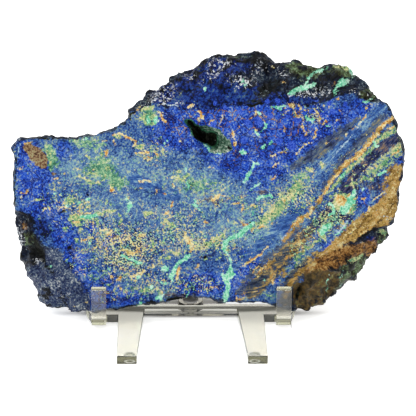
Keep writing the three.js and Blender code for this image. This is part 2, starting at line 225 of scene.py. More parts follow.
# Where the flat sawn face ends and the broken rim begins, in pixels
FACE_EDGE_PX = [
    (12.5, 149), (18.5, 141), (41, 138.5), (76, 139.8), (103, 133.4), (118, 128.2), (127.5, 121),
    (131, 112), (140, 110), (157, 104), (166, 107.6), (177, 105.4), (188, 100), (200, 95.6), (210, 95),
    (228, 102.4), (250, 106), (260, 102.4), (270, 96), (280, 96), (294, 103), (306, 106.6), (323, 103.5),
    (334, 97.4), (343, 94.4), (353, 93.6), (360, 97.4), (370, 103), (382, 103), (387, 105.5), (391, 111),
    (395.4, 127), (399.5, 139), (403.6, 156), (402.6, 176), (397.3, 191.4), (397.5, 209), (394.8, 217),
    (389, 225.5), (377, 227), (367, 232), (356, 241), (343, 245), (335, 253), (318, 260), (307, 272),
    (304, 282), (293, 285), (291.5, 300), (288, 307), (277, 305), (262, 302), (235.8, 302), (218, 301.3),
    (208.3, 297.1), (193, 295.9), (181, 298.8), (166, 301.5), (144, 302.8), (120.5, 308.2), (108.5, 309),
    (91, 310.3), (89, 301), (82, 287), (76, 279), (69, 268), (61, 260), (62, 254), (59, 249), (52, 248),
    (43, 245), (34, 233), (34, 222), (30, 214), (15.5, 210), (13.5, 186), (14.2, 176), (15.2, 155.5),
]

# Hollows and knobs: x, y in pixels, reach along and across in mm, turn in degrees, height in mm
RELIEF = [
    (195, 130, 6.2, 1.7, -47, -6), (207, 138, 5.6, 4.0, -25, -9), (222, 146, 5.2, 3.6, -30, -2.2),
    (202, 125, 2.6, 2.2, -30, -2), (57, 254, 3.4, 2.6, 20, 2.4), (40, 253, 5.2, 3.4, -60, -3.2),
    (27, 234, 5.0, 3.4, 70, 1.4), (313, 286, 9.0, 5.2, 60, 1.8), (298, 292, 3.2, 2.0, 70, -2.6),
    (352, 262, 7.5, 3.6, 35, 1.2), (366, 95, 3.2, 3.2, 0, 1.6), (232, 78, 9.0, 4.6, 8, 1.8),
    (265, 72, 6.5, 4.0, -15, -1.6), (188, 84, 7.0, 3.6, 25, 1.6),
]

# Soft zones of colour on the stone: x, y, reach along and across in pixels, amount, and the turn
# in degrees where there is one
CLOUDS = {
    "vivid": [
        (245, 115, 62, 30, 1), (300, 122, 46, 26, 1, -15), (205, 112, 34, 20, .9), (170, 135, 26, 16, .6),
        (262, 160, 36, 26, .8), (225, 160, 24, 16, .6), (32, 180, 18, 26, .9), (26, 150, 10, 12, .7),
        (60, 152, 18, 12, .7), (92, 226, 9, 7, 1), (50, 212, 26, 16, .7), (64, 236, 12, 14, .9),
        (74, 262, 16, 14, .9, 45), (95, 285, 26, 14, .8, 20), (120, 296, 26, 10, .7),
        (205, 285, 26, 14, 1.1), (250, 262, 16, 16, .7, 45), (243, 286, 12, 14, .6, 50),
        (364, 199, 6, 12, 1.5), (402, 161, 3.4, 4.2, 1.6), (356, 110, 26, 9, .9, 25), (100, 300, 24, 8, .8),
        (130, 178, 20, 10, .3), (90, 160, 16, 10, .4), (325, 246, 8, 3.4, 1.3, 40), (110, 243, 8, 7, .8),
        (150, 242, 10, 8, .5), (277, 281, 3, 4, 1), (256, 291, 4, 2.4, 1), (190, 128, 30, 24, .5),
        (250, 192, 18, 6, .5, 10), (120, 238, 8, 6, .8), (60, 175, 12, 8, .5),
    ],
    "green": [
        (95, 170, 26, 15, .8, -15), (90, 143, 18, 9, 1), (72, 140, 8, 4, .8), (52, 160, 8, 13, 1.4),
        (47, 148, 6, 7, .9), (148, 116, 11, 10, 1.3), (156, 152, 11, 12, .8, -30),
        (180, 174, 12, 7, .6, -30), (103, 165, 12, 14, .8), (212, 186, 26, 9, .65), (196, 182, 16, 8, .3),
        (185, 190, 20, 14, .4), (70, 202, 18, 5, .9), (85, 218, 16, 5, .9, 8), (80, 245, 12, 12, .4),
        (97, 276, 12, 8, .9), (140, 290, 26, 8, .8), (165, 295, 14, 6, .7), (118, 184, 10, 7, .9),
        (278, 208, 20, 8, 1.1, 40), (298, 186, 13, 10, 1.1, 35), (262, 224, 14, 6, .8, 40),
        (220, 240, 24, 8, .5), (172, 228, 12, 12, .6), (160, 255, 22, 10, .4), (230, 206, 22, 8, .4),
        (318, 215, 12, 14, .5, 30), (135, 264, 24, 7, .5, -20), (105, 232, 8, 5, .6),
        (300, 258, 14, 8, .9, 45), (272, 296, 12, 6, .9), (283, 275, 7, 9, .9), (78, 292, 12, 8, .4),
        (300, 176, 10, 4, .6), (25, 168, 8, 6, .7), (212, 246, 16, 8, .5, 20), (84, 186, 14, 6, .5),
        (330, 262, 14, 3, .4, 20), (390, 176, 6, 8, .5), (120, 178, 12, 10, .4),
    ],
    "pale": [
        (150, 213, 16, 8, .7), (170, 222, 9, 11, .8), (215, 243, 22, 7, .8, 20), (120, 214, 14, 4, .6),
        (214, 185, 20, 6, .6), (158, 150, 9, 13, .8), (95, 166, 22, 12, .5), (85, 220, 14, 6, .8),
        (140, 291, 24, 7, .7), (115, 190, 10, 8, .6), (300, 175, 12, 8, .6), (100, 245, 26, 10, .6, 10),
        (128, 262, 20, 8, .6), (194, 244, 8, 10, .9), (350, 205, 12, 12, .6), (395, 178, 6, 8, .7),
        (298, 262, 12, 8, .8, 45), (158, 116, 12, 8, .7), (243, 226, 8, 8, .6), (232, 262, 20, 6, .5, 20),
    ],
    "ochre": [
        (390, 204, 13, 16, .9), (396, 190, 8, 18, 1), (34, 154, 9, 13, .5, 30), (396, 172, 8, 8, .9),
        (283, 274, 6, 7, .7), (284, 290, 7, 8, .4), (262, 272, 14, 5, .5, 45), (272, 262, 14, 5, .5, 45),
        (150, 250, 26, 12, .2), (95, 245, 30, 12, .3), (300, 245, 20, 10, .7, 40),
        (315, 258, 14, 6, .7, 20), (243, 296, 10, 6, .6, 45), (210, 196, 14, 4, .6),
        (386, 182, 10, 6, .5, 40),
    ],
    "indigo": [
        (352, 186, 26, 14, .7, 45), (336, 212, 24, 12, .6, 45), (378, 186, 12, 8, .8, 45),
        (346, 222, 16, 8, .6, 40), (262, 192, 9, 4, .7), (335, 140, 12, 6, .5, 35), (210, 200, 10, 6, .7),
        (222, 203, 8, 4, .6), (208, 257, 12, 7, .5), (70, 250, 8, 6, .6), (132, 236, 14, 12, .5),
        (178, 296, 20, 5, 1), (68, 210, 10, 3, .6), (142, 252, 12, 10, .5), (150, 262, 12, 5, .4),
        (195, 276, 18, 8, .5), (235, 140, 6, 5, .4), (220, 118, 5, 10, .4), (197, 150, 10, 5, .6, -30),
        (90, 206, 10, 4, .5), (100, 262, 12, 5, .5), (130, 270, 10, 4, .5), (302, 236, 12, 8, .5, 45),
    ],
    "teal": [
        (150, 200, 90, 34, .55, -10), (185, 165, 40, 22, .5, -20), (210, 190, 40, 20, .7),
        (90, 160, 34, 22, .7), (100, 215, 40, 20, .5), (250, 215, 34, 22, .6, 35), (170, 240, 40, 24, .4),
        (230, 235, 34, 16, .6), (300, 185, 16, 22, .7, 35), (320, 170, 16, 14, .5, 40),
        (130, 285, 34, 16, .5), (80, 280, 24, 20, .3), (340, 215, 24, 22, .5, 45),
        (375, 165, 24, 16, .5, 45), (45, 215, 26, 22, .2), (270, 240, 24, 24, .6, 40),
        (64, 172, 14, 12, .4), (300, 230, 20, 30, .6, 40), (130, 170, 30, 20, .5),
    ],
    "busy": [
        (85, 215, 40, 16, .9, 10), (110, 240, 34, 20, 1), (120, 270, 34, 16, 1), (150, 245, 40, 22, .9),
        (165, 285, 30, 14, .8), (185, 220, 34, 22, .9), (150, 150, 20, 16, .8), (175, 180, 30, 16, .7),
        (60, 200, 24, 12, .8), (95, 180, 30, 16, .6), (215, 245, 34, 12, 1), (205, 285, 24, 14, .8),
        (265, 215, 34, 16, 1, 40), (250, 265, 16, 10, .8, 40), (300, 195, 20, 24, 1, 40),
        (230, 200, 26, 14, .8), (300, 110, 24, 14, .6), (290, 145, 20, 12, .5), (205, 112, 24, 12, .4),
        (340, 165, 34, 12, .4, 45), (345, 215, 20, 20, .9, 40), (370, 170, 30, 16, .7, 45),
        (110, 295, 30, 10, .6), (75, 270, 14, 20, .6), (320, 225, 24, 14, .9, 45),
        (300, 250, 16, 14, .9, 40), (318, 112, 14, 20, .5), (400, 150, 8, 12, .6),
    ],
    "crust": [
        (345, 256, 26, 11, 1.5, 14), (322, 264, 14, 8, 1.3, 20), (370, 250, 14, 8, 1, 50),
        (306, 280, 8, 14, .7), (386, 236, 7, 6, .6), (304, 298, 5, 12, .5), (25, 226, 7, 8, .7),
        (136, 110, 5, 3, .5, 40), (335, 83, 2.4, 5, .8), (350, 284, 10, 4, .6, 40),
    ],
    "bark": [
        (318, 290, 16, 20, 1.5, 20), (312, 302, 18, 10, 1.4), (302, 292, 7, 16, 1),
        (334, 280, 12, 9, 1, 30),
    ],
    "moss": [
        (350, 70, 14, 8, 1.3), (368, 96, 11, 9, 1), (310, 72, 24, 9, .9), (180, 92, 10, 5, .5, 30),
        (150, 100, 14, 5, .5, 30), (344, 276, 20, 9, 1.3, 30), (362, 266, 10, 10, 1.1, 40),
        (29, 240, 7, 10, 1), (300, 66, 16, 5, .8), (45, 268, 8, 6, .5), (330, 292, 14, 7, .8, 30),
        (385, 240, 10, 8, .8, 30), (240, 56, 30, 3, .6), (200, 68, 16, 3, .6, 30), (332, 285, 5, 12, .6),
    ],
    "ash": [
        (62, 286, 36, 26, 1.4), (48, 262, 12, 14, .8), (16, 144, 6, 6, 1.3), (70, 302, 30, 14, 1.3),
        (57, 254, 9, 8, 1.2), (40, 290, 16, 20, 1),
    ],
    "deep": [
        (172, 92, 24, 10, 1.1, 20), (205, 82, 22, 18, 1.1), (228, 96, 34, 12, 1), (222, 66, 22, 12, .8, 10),
        (250, 90, 20, 10, .7), (190, 104, 30, 7, 1), (246, 66, 18, 9, .6), (266, 98, 20, 7, .9),
        (300, 100, 30, 7, .9), (44, 228, 11, 14, 1), (70, 272, 8, 18, 1, 35), (372, 243, 7, 8, 1.2, 40),
        (350, 92, 16, 7, .5), (86, 296, 8, 14, 1, 20),
    ],
    # Painted shade: where the rim's hollows and the arch's underside lie in shade
    "hollow_shade": [
        (36, 252, 9, 12, 1.2, 30), (262, 92, 12, 7, .9), (322, 88, 14, 6, .8), (250, 102, 14, 4, .8),
        (276, 84, 14, 12, .7), (28, 222, 6, 5, .7), (50, 270, 10, 4, .8, -50), (170, 298, 12, 3, .8),
        (326, 76, 10, 6, .8), (289, 299, 5, 9, .9), (180, 290, 18, 6, .45), (232, 62, 20, 5, .5),
        (190, 92, 16, 6, .5, 20),
    ],
    # Where the rim's painted glints cluster
    "glint": [
        (165, 92, 16, 10, 1, 30), (158, 100, 12, 6, .9, 20), (214, 70, 12, 8, 1, 60), (222, 62, 14, 5, .8),
        (190, 76, 9, 5, .9), (262, 66, 12, 8, .8), (248, 82, 16, 9, .7), (322, 92, 12, 7, 1.1),
        (300, 94, 14, 5, .9), (284, 74, 9, 8, .7), (178, 104, 14, 5, .8), (236, 78, 12, 12, .5),
        (354, 92, 9, 5, .8), (20, 235, 5, 14, 1.1), (38, 262, 9, 5, 1), (56, 247, 9, 3, .9),
        (60, 288, 30, 20, .45), (14, 142, 5, 5, .6), (368, 100, 8, 7, .5), (140, 108, 9, 5, .5, 40),
    ],
}

# Bands that follow the stone's bedding, with soft edges: lists of x, y, half width in pixels
BANDS = {
    "ochre": [
        [(399, 113, 3), (393, 118.4, 3.6), (387, 123, 3), (379, 129.8, 2.8), (371, 140, 2.6),
         (362.3, 151, 2.6), (353.6, 158, 2.8), (345.5, 164.7, 3), (338, 172, 2.8), (331, 182, 2.2),
         (326.5, 189.6, 2), (318, 203.7, 1.4), (307.5, 215, 2), (300, 221, 3.4), (292, 231, 3),
         (284, 242, 1.6)],
        [(397, 186, 8), (396, 196, 10), (391, 205, 12), (384, 214, 13), (373, 220, 11), (361, 228, 10),
         (350, 236, 9), (341, 244, 8), (331, 252, 6), (316, 259, 4)],
        [(312, 230, 1), (303, 241, 1.6), (294, 251, 1.4), (284, 262, 1.6), (274, 274, 2), (264, 286, 1.6)],
        [(322, 258, 2), (310, 266, 2.4), (298, 275, 2.6), (290, 284, 2.4), (285, 296, 2)],
        [(402, 165, 2), (398, 176, 5), (393, 188, 6)],
    ],
    "pale": [
        [(403, 141, 5), (397, 150, 7), (388, 159, 8), (378, 167, 7), (370, 175, 7), (362, 179, 5),
         (352, 183, 4)],
        [(330, 196, 2), (334, 203, 3), (336, 212, 3), (330, 220, 5), (326, 230, 7), (322, 236, 5)],
        [(300, 186, 6), (288, 198, 5), (276, 209, 6), (262, 220, 4), (246, 230, 3)],
        [(398, 126, 2), (386, 136, 2), (372, 148, 2), (358, 161, 2)],
    ],
    "green": [
        [(397, 127, 3), (388, 134, 3.4), (379, 140, 3.4), (370, 150, 3.4), (361, 158.5, 3.4),
         (352, 166, 3.6), (345, 174, 3.4), (338, 184, 2.4)],
        [(316, 243, 2), (304, 251, 3), (296, 259, 3)],
    ],
    "indigo": [
        [(400, 135, 4), (390, 142, 5.4), (380, 150, 5.4), (370, 160, 5), (360, 168, 5), (352, 178, 5),
         (345, 186, 4)],
        [(392, 224, 1.2), (378, 229, 1.6), (367, 234, 1.6), (356, 241, 1.6), (346, 246, 1.6)],
        [(352, 186, 6), (342, 194, 4), (330, 208, 5), (320, 222, 4), (312, 232, 3)],
    ],
    "umber": [
        [(322, 214, 1), (308, 232, 5), (294, 248, 8), (278, 264, 9), (264, 278, 9), (252, 292, 8)],
        [(330, 250, 2), (314, 258, 6), (302, 270, 8), (292, 282, 7), (286, 298, 7)],
        [(402, 122, 1), (384, 134, 1.4), (366, 148, 1.6)],
    ],
    "dusk": [
        [(384, 116, 3), (374, 127, 3.4), (362, 140, 3.6), (350, 153, 3.4), (340, 164, 3), (331, 178, 2.6),
         (322, 191, 2)],
        [(358, 119, 2), (342, 132, 5), (328, 144, 7), (312, 156, 6), (292, 168, 3)],
        [(300, 226, 3), (286, 242, 3), (268, 258, 3), (250, 276, 4), (240, 292, 5)],
    ],
    "steel": [
        [(388, 103, 4), (376, 112, 5), (364, 124, 6), (350, 137, 6), (338, 150, 6), (326, 163, 6),
         (314, 176, 5)],
        [(302, 203, 5), (287, 222, 7), (272, 238, 8), (258, 250, 7), (244, 262, 5), (230, 270, 3)],
        [(370, 203, 2.4), (356, 213, 4), (344, 222, 4), (334, 232, 3), (322, 246, 3.4), (308, 262, 3)],
        [(176, 196, 6), (150, 186, 7), (124, 176, 5)],
    ],
}
ZONES = tuple(dict.fromkeys([*CLOUDS, *BANDS]))

# Crisp marks in pixels. Strokes are lists of x, y, half width. Blobs are x, y, half length, half
# width, and the turn in degrees where there is one.
STROKES = {
    "frost": [
        [(369, 111, .3), (362, 122, .6), (356, 130, .4)],
        [(354, 134, .4), (345, 144, .8), (337, 152, .7), (331, 160, .3)], [(311, 142, .3), (300, 150, .4)],
        [(380, 102, .3), (372, 106, .4)], [(396, 218, .4), (384, 217, .3)],
        [(348, 222, .8), (341, 230, 1), (334, 234, .8)], [(300, 220, .3), (290, 232, .4), (282, 240, .3)],
        [(240, 246, .3), (252, 238, .5), (262, 232, .3)], [(210, 152, .5), (217, 157, .5), (222, 160, .3)],
        [(165, 103, .5), (170, 105.6, .6), (178, 105.4, .5)], [(21, 142, .4), (18, 150, .5), (16, 160, .4)],
    ],
    "mint": [
        [(252, 223, 2), (247.4, 228.3, 2.6), (242.3, 232.1, 2.8), (238.5, 236, 2.6), (230.8, 238.5, 2.2),
         (225.7, 241.7, 2.4), (223.5, 248, 2.2)],
        [(224.5, 251, .8), (227.6, 255.7, .9), (230.8, 260.8, 1.7), (230.5, 266, 1), (230.8, 271, 2.4),
         (229.5, 275.5, 4.4), (226, 279.3, 4.4), (227.5, 284, 2.8), (227.3, 289, 2.6), (225.7, 295.9, 3.6),
         (225, 302.3, 1.4)],
        [(221.9, 274.8, 1.2), (229, 276, 3)], [(234, 275.5, 1.2), (229, 276, 3)],
        [(257.7, 163.6, .9), (253.8, 163.9, 1.2), (250.8, 171.2, 1.5), (248.5, 175.3, 1.6),
         (244.4, 182.7, .8)],
        [(259.4, 183, .8), (256, 184.7, 1), (253, 186.7, .8), (250.2, 190.2, .6)],
        [(271.9, 106.8, 1), (277.6, 107.9, 1.1), (284.2, 106.3, 1)],
        [(277.6, 107.9, 1), (279.6, 110.9, .9)],
        [(263.8, 123.7, 1.2), (265.8, 125.2, 1.3), (264.8, 128.3, 1.1), (261.7, 131.3, .7)],
        [(254.6, 130.8, 1), (257.7, 133.4, 1.3)], [(262.8, 146.6, 2.4), (264.3, 143.6, 1)],
        [(266.8, 145.6, 1), (269.4, 143, 1.1), (271.9, 142, 1)],
        [(305.6, 116.5, .9), (307.7, 120.1, 1.6), (309.5, 120.4, 1.6), (312, 119.8, 1.8), (312, 122.5, .8)],
        [(290.5, 93.1, 1.8), (298, 89.8, 2.8), (306.3, 86.5, 2.8), (317.1, 84, 1)],
        [(291.8, 98.9, .8), (291.5, 94, 1)],
        [(306.3, 83.2, 1.6), (307.1, 80.7, 1), (310.4, 75.7, 1.1), (316.2, 72, 1.3), (321.2, 69.9, 1.3),
         (327.8, 67.4, 1.4)],
        [(352.7, 69, 1.6), (355.2, 74, 2.4)], [(338, 85, 2.5), (345, 81.5, 4), (352, 79, 1.4)],
        [(333.6, 95.6, .8), (337, 89, 2)], [(363, 101, .9), (368, 102.4, 1.3), (372, 99, 1)],
        [(121.7, 255.7, 1), (127.4, 258.3, 1.4), (133.2, 260.2, 1.8), (138.3, 263.4, 1.9), (142.1, 264, 1)],
        [(189.3, 255.5, 1.8), (185.5, 258.3, 2.4), (181.6, 260.8, 1.3), (177.2, 264.6, 1.6),
         (173.3, 271, 2.8), (170.8, 276.1, 2.6), (171.4, 281.2, 1)],
        [(161.2, 282.5, 1), (165.7, 284.4, 1.1), (170.2, 284.4, 1), (172.7, 281, .7)],
        [(129.2, 203, 2.6), (128.6, 207, 1.6), (128, 212, .9)],
        [(257.6, 198.8, 1.4), (263.4, 196.5, 1.6), (270.8, 197, 1.8)], [(184.8, 169, 1.4), (186, 173, .8)],
        [(186, 182.7, 1.3), (188.8, 186.7, 1)], [(195, 200, .8), (194, 205, 2), (200.3, 210.8, .9)],
        [(82, 217, 1.6), (90, 217, 2.6), (97, 215.5, 1.4)],
        [(328.6, 203.7, 1.3), (334.2, 207.2, 1.8), (333.5, 212.1, 1.8), (328.6, 214.9, 1.6)],
        [(343, 211, 4), (349, 205, 5), (353, 197, 4), (355, 190, 1.2)],
        [(322, 233, 3), (326, 229, 3.4), (330, 225, 2)], [(331, 276, .5), (327, 284, .6), (329, 292, .5)],
        [(345, 270, .6), (341, 280, .6), (343, 288, .5)], [(252.8, 212, .9), (252.8, 215, 1.3)],
        [(247.4, 226, 1), (252.5, 222.5, 1.6)],
        [(347.5, 223.3, .6), (343.3, 230.4, .6), (334.9, 234.6, .6)], [(334.9, 224, .8), (342, 221, .8)],
        [(360, 190.4, .7), (364.5, 188.4, .8)], [(372, 140, .8), (377, 147, 1.6)],
        [(345, 172, .8), (341, 178, 1.6)], [(380, 175, 2), (386, 171, 1.4)],
        [(199, 130, 1), (203, 131.5, 1)],
        [(199.5, 139, .8), (204, 144, 1.2), (210, 150, 1.1), (214, 153.5, 1.3), (220, 154, 1.2),
         (224, 151, 1)],
        [(186.5, 122.5, .8), (190, 126, .9), (192, 131, .8)], [(186, 296.5, .7), (188, 293, .8)],
        [(156, 298, 1.4), (160, 297.5, 2), (163, 294, .8)], [(137.5, 306, 1), (141, 302.5, 1.2)],
        [(204.5, 87, 1), (206, 91, 1)], [(48.5, 267, 1), (51, 266, 1)],
    ],
    "lime": [
        [(70.5, 219, 2.6), (75, 217, 3.6), (80, 218.5, 3.6), (84, 220, 2)],
        [(72, 223.5, 1.6), (80, 224, 2)],
        [(96.7, 214.6, 1.6), (104, 212.8, 1.5), (112, 210.8, 1.5), (117, 209.6, .8)],
        [(96.5, 218, 1), (97, 226.5, 1)], [(119.7, 213.3, 1), (120.8, 219, 1.3), (119, 225.3, 1.3)],
        [(175.6, 175.3, .8), (171, 178.7, .8), (177.3, 179.8, 1.4), (182.5, 179.3, 1.5), (184.8, 177, 1.5),
         (188.8, 174.7, 1)],
        [(164, 218.3, 1), (167.6, 221.2, 2), (172, 226.4, 1.8)], [(145, 213, 2.4), (150.5, 212, 2)],
        [(169.5, 251.3, 1), (174, 253.8, 1.8), (178.4, 255, 1.6)], [(157.4, 259.5, .7), (162.5, 255.7, .8)],
        [(165.5, 257.5, 1), (169, 256.4, 1.4)], [(218, 238, 1.4), (223, 235.5, 2)],
        [(212.5, 240, 2), (217.5, 238, 2)], [(152.3, 241, 1), (152.8, 247, 1.6)],
        [(141, 291, 1.6), (145, 290, 1.8)], [(296.3, 259.1, 1), (304, 253.5, 1.4)],
        [(275, 212.5, 2.4), (280, 208.5, 2.6), (284, 206.5, 1.6)],
        [(260.5, 224, 1.8), (268, 219.5, 1.8), (275, 214.5, 1.6)], [(276, 203.5, 1.4), (281, 202, 1.6)],
        [(291, 190, 1.6), (294, 187, 2.2), (298, 184, 1.6)], [(298, 189, 1.6), (301, 187, 1.6)],
        [(292, 197.5, 1.8), (295.5, 198.5, 1.2)], [(303, 179, .9), (309, 177, .9)],
        [(320.7, 232, 3), (325.5, 228, 4.6), (330, 225, 3)], [(323.5, 236, 3.6), (325, 240, 1.6)],
        [(314.5, 243.2, 1.2), (319.5, 241.4, 1.2)],
        [(395.8, 131.2, 1.1), (383.7, 135.4, 1.4), (375, 146.5, 1.6), (360.3, 158.8, 1.2),
         (350.9, 166.7, 1.4), (343.3, 174.2, 1.4), (337.7, 182.6, 1.4), (330.7, 190.4, 1.2),
         (325, 194.6, .8)],
        [(392, 154, 1.6), (398, 149, 2.2), (401, 144, 1.2)],
        [(374, 172, 2), (380, 168, 2.2), (388, 160, 2.2)],
        [(360, 180, 1.2), (366, 178, 1.6), (372, 180, 1.4)],
        [(346, 186, 1), (354, 183, 1.2), (358, 184, .8)], [(352, 180, 1), (354, 188, 1.2)],
        [(331, 197, 1.2), (336, 195, 1.3)], [(321, 215.5, 1), (323, 220, 1.6)],
        [(135, 148, 1.2), (139.4, 147, 2), (143, 146, 1.2)], [(114, 136, 1), (119, 136.4, 1.2)],
        [(86, 156.6, .9), (90, 158, 1)], [(79, 176, 1), (84, 179, 1.2), (90, 182, 1)],
        [(83, 171, 1), (86, 174, 1)], [(140.6, 112, 1), (146, 109, 2), (152, 108.5, 2)],
        [(141, 118, 2), (148, 117, 3), (154, 117, 3)], [(146, 123.5, 2), (154, 123, 2.4)],
        [(212, 182.6, .8), (221, 182.7, .9)], [(204, 242, 1.4), (210, 243, 2)],
        [(252, 208, 1), (256, 205, 1)], [(264, 205, 1.2), (268, 203.5, 1.2)],
        [(208, 257, .8), (203, 261, .8)], [(307.5, 168, 1.6), (311, 171, 1.8)],
        [(321.3, 163.4, 1.6), (322.8, 167, 2)], [(100, 183.5, .8), (92, 184, 1)],
        [(111, 205.5, .7), (107, 201, .6)], [(213, 147, 1.8), (218, 150.5, 1.6)],
        [(226, 139, 1), (229, 147, 1.4)], [(350, 262, 1.4), (357, 260, 2.2), (364, 256, 1.4)],
    ],
    "rust": [
        [(82, 214.4, 1), (86, 213.4, 1.2), (91, 212.8, .8)], [(72, 214.8, .7), (79, 214.6, .8)],
        [(73, 222, 1.2), (79, 222.4, 1.2)],
        [(102, 231, .9), (106.5, 229.4, 1.1), (110, 230.5, 1.1), (109.4, 233.4, 1.2), (106, 235.4, .9)],
        [(80.7, 240.6, 1.4), (84.7, 239.7, 1.3), (87.6, 238, 1), (91.6, 237, 1)],
        [(95.6, 237.4, .7), (96.7, 240.8, 1), (97.9, 244.9, 1), (95.6, 247, .9), (92.7, 248.3, .8)],
        [(107.6, 245.4, .9), (111.7, 243.7, 1.2), (111, 240.3, .8), (114.5, 237.4, .9), (118.6, 237.4, 1.4),
         (120.3, 240.3, 1.5), (122, 242, 1)],
        [(124.9, 239.7, 1.4), (129.5, 238, 1.3)],
        [(119, 250.6, .9), (124.9, 250.6, 1.2), (128.5, 252.6, 2.6), (133, 254, 1.8)],
        [(139.5, 236, 1.3), (144, 234.4, 1)],
        [(130, 277, 1.2), (134, 275.5, 1.5), (137, 274.8, 1), (140.2, 274.2, 1.8), (143.4, 270.4, 1.4)],
        [(108.5, 274, .8), (111, 277, 1.4)], [(117, 281, 1.2), (119.5, 278, 1.4)],
        [(118, 287, .9), (121.5, 289.5, 1.1)], [(132, 280, 1.2), (135.5, 281.2, 1)],
        [(149.1, 265.5, .8), (149.1, 269, .9)], [(152.9, 264, .8), (152.9, 267.8, .9)],
        [(144, 150.5, .9), (148.5, 152.8, 1)],
        [(143.4, 157.7, 1.2), (147.5, 155.6, .9), (151.3, 157.4, 1), (147.5, 159.4, 1)],
        [(155.5, 152, 1.2), (156.6, 154.4, 1.4)], [(140, 181, .8), (146, 181, .8), (150, 180.8, 1.1)],
        [(172.7, 201, .7), (171.8, 205, 1), (171.4, 208, .8)], [(165.8, 213, 1.6), (168, 212, 1.2)],
        [(213, 199.6, 1.4), (217, 196.8, 2), (220, 195.6, 1)], [(222, 196.4, .8), (226, 197.2, .7)],
        [(227.5, 198.4, .8), (229.5, 198, .8)], [(240.6, 197.2, 1), (245, 196.8, .9)],
        [(232.5, 204, 1), (237.8, 202.8, 1)], [(243.3, 204.4, 1), (243, 207.5, 1.1), (241.4, 210.6, .8)],
        [(251.4, 206.4, 1.2), (254.6, 205.6, 1.2)], [(262.2, 208.6, .9), (262.2, 213, 1)],
        [(271.5, 156, 1.1), (274.6, 154.2, 1)], [(273, 168, .8), (274.4, 166.2, 1), (278.3, 163.5, .6)],
        [(271.4, 179.6, .7), (274.3, 179.2, .7), (276.6, 174.7, .6)],
        [(243.5, 225.6, 1.6), (246.6, 223.6, 1.6)], [(252.2, 231.5, 1.4), (253.6, 227.8, 1.2)],
        [(258.8, 228, 1.2), (262.6, 226.2, 1.4)],
        [(242.3, 267.2, .9), (248, 262.6, 1.1), (254, 258.4, 1.2), (262, 254.4, .9)],
        [(262.6, 252, .6), (268, 246, .6)], [(251.9, 272.9, .8), (258.9, 266.6, .9)],
        [(256.3, 273.6, .9), (262, 269, 1), (267.8, 265.3, .8)], [(256, 278, .8), (260, 276, .8)],
        [(267, 279.6, .8), (268.4, 279, .8)], [(273, 280, 1), (274, 283.5, 1.1)],
        [(237.2, 298, .9), (237.6, 300, .9)],
        [(185.5, 231.5, .9), (184.8, 236, 1.1), (187.4, 241.7, 2.6), (191, 244, 2), (193.4, 247.5, 1.3),
         (190.4, 251.4, 1.1)],
        [(176.5, 228.3, .8), (181, 229.6, .9), (184, 231, .8)],
        [(179.7, 267.2, .9), (177.8, 272.9, 1.3), (177.2, 280, 1.2)], [(195.4, 268.5, .9), (198.4, 265, 1)],
        [(194, 276, 1.4), (196.6, 276.2, .9)], [(185.4, 285.4, .8), (185.6, 287.6, .7)],
        [(161.2, 291, .8), (161.4, 294, .9)],
        [(112.5, 135.8, .8), (116.5, 133.9, .8), (122.2, 135, .9), (129.1, 138.3, 1.1), (134.8, 139.6, .9),
         (136.6, 141.3, .9), (134, 145, 1.4)],
        [(113.6, 140.6, 1.1), (114.6, 144, .9)],
        [(135.4, 154, 1.1), (139.4, 152.2, 1.1), (145.2, 154, 1.1)],
        [(158.7, 112.6, .8), (161.3, 114, .9), (161.9, 117.4, 1.2), (162.4, 120.4, 1.1),
         (165.3, 121.5, .9)],
        [(187.3, 107.3, .8), (190, 106.2, 1.2), (192.6, 105, 1.3)],
        [(199, 112, 1.5), (200.6, 115.5, 2), (202.8, 118, 1.2)], [(198, 118, 1), (200, 120, .8)],
        [(208.6, 124.4, .6), (210.4, 121.4, .7), (213, 120.4, .8)],
        [(233, 131.5, .9), (233.2, 135, 1.2), (233.4, 138, .9)],
        [(234, 143, .6), (234.6, 145.8, .9), (236.4, 142.6, .5)],
        [(219, 124, .6), (221, 121.6, .9), (222, 119.4, .6)], [(222.6, 118.4, .8), (222, 114, .9)],
        [(226.4, 131.4, .8), (228, 131, .7)],
        [(294.4, 111.4, .9), (296.9, 115, 1), (301, 116, .9), (303.6, 119.1, .8), (303.6, 122.7, .7),
         (302, 126.7, .8), (304.1, 130.8, .7), (306.6, 133.4, .8), (306.8, 136, .9)],
        [(289, 104.8, .9), (292.3, 105.8, 1.4), (292.5, 108.5, 1)],
        [(298.5, 104.8, .8), (301.5, 108.9, .7)], [(283.2, 110.2, .9), (284.4, 109.2, .9)],
        [(285.4, 112.6, .6), (288.6, 111.8, .6)],
        [(311.7, 108.9, .8), (315.8, 110.4, .9), (318.9, 114, 1), (320.9, 118.6, .9)],
        [(312.2, 115.5, .7), (316.8, 115, .7)], [(318.6, 119.8, 1.1), (319, 121, .9)],
        [(323.5, 125.2, .7), (326.5, 121.1, .8)], [(327.4, 117.6, .7), (328.6, 115.6, .7)],
        [(314.4, 135.6, .9), (316.2, 129.6, 1)], [(308, 131.4, .8), (311, 132.4, .7)],
        [(312.4, 137.8, .9), (314, 137, .8)], [(305, 145, .8), (308.2, 143.6, 1), (311.7, 142, .9)],
        [(299, 150.2, .6), (304, 146.6, .6)], [(296.4, 155, .9), (298, 152, .8)],
        [(278.6, 152.2, .7), (284.7, 151.2, .7)], [(284.2, 128.6, .7), (284.2, 131, .7)],
        [(255.6, 111.6, .8), (255.8, 115.6, .8)], [(371, 103.7, .5), (365.6, 109, .6)],
        [(367, 114.4, .6), (363, 119.8, .6), (359, 125.1, .6), (353.6, 128.5, .5)],
        [(393.8, 118.4, 1.6), (387, 122, 1.6), (380.4, 127.4, 1.6)], [(394.5, 126.6, .9), (388, 129, 1)],
        [(379, 133, 1.2), (373, 138.6, 1.5), (368, 146, 1.4)],
        [(366, 149, 1.4), (360, 154.6, 1.6), (352, 160, 1.2)],
        [(347.4, 162.6, 1), (341, 170, 1.2), (336, 176, 1.3)],
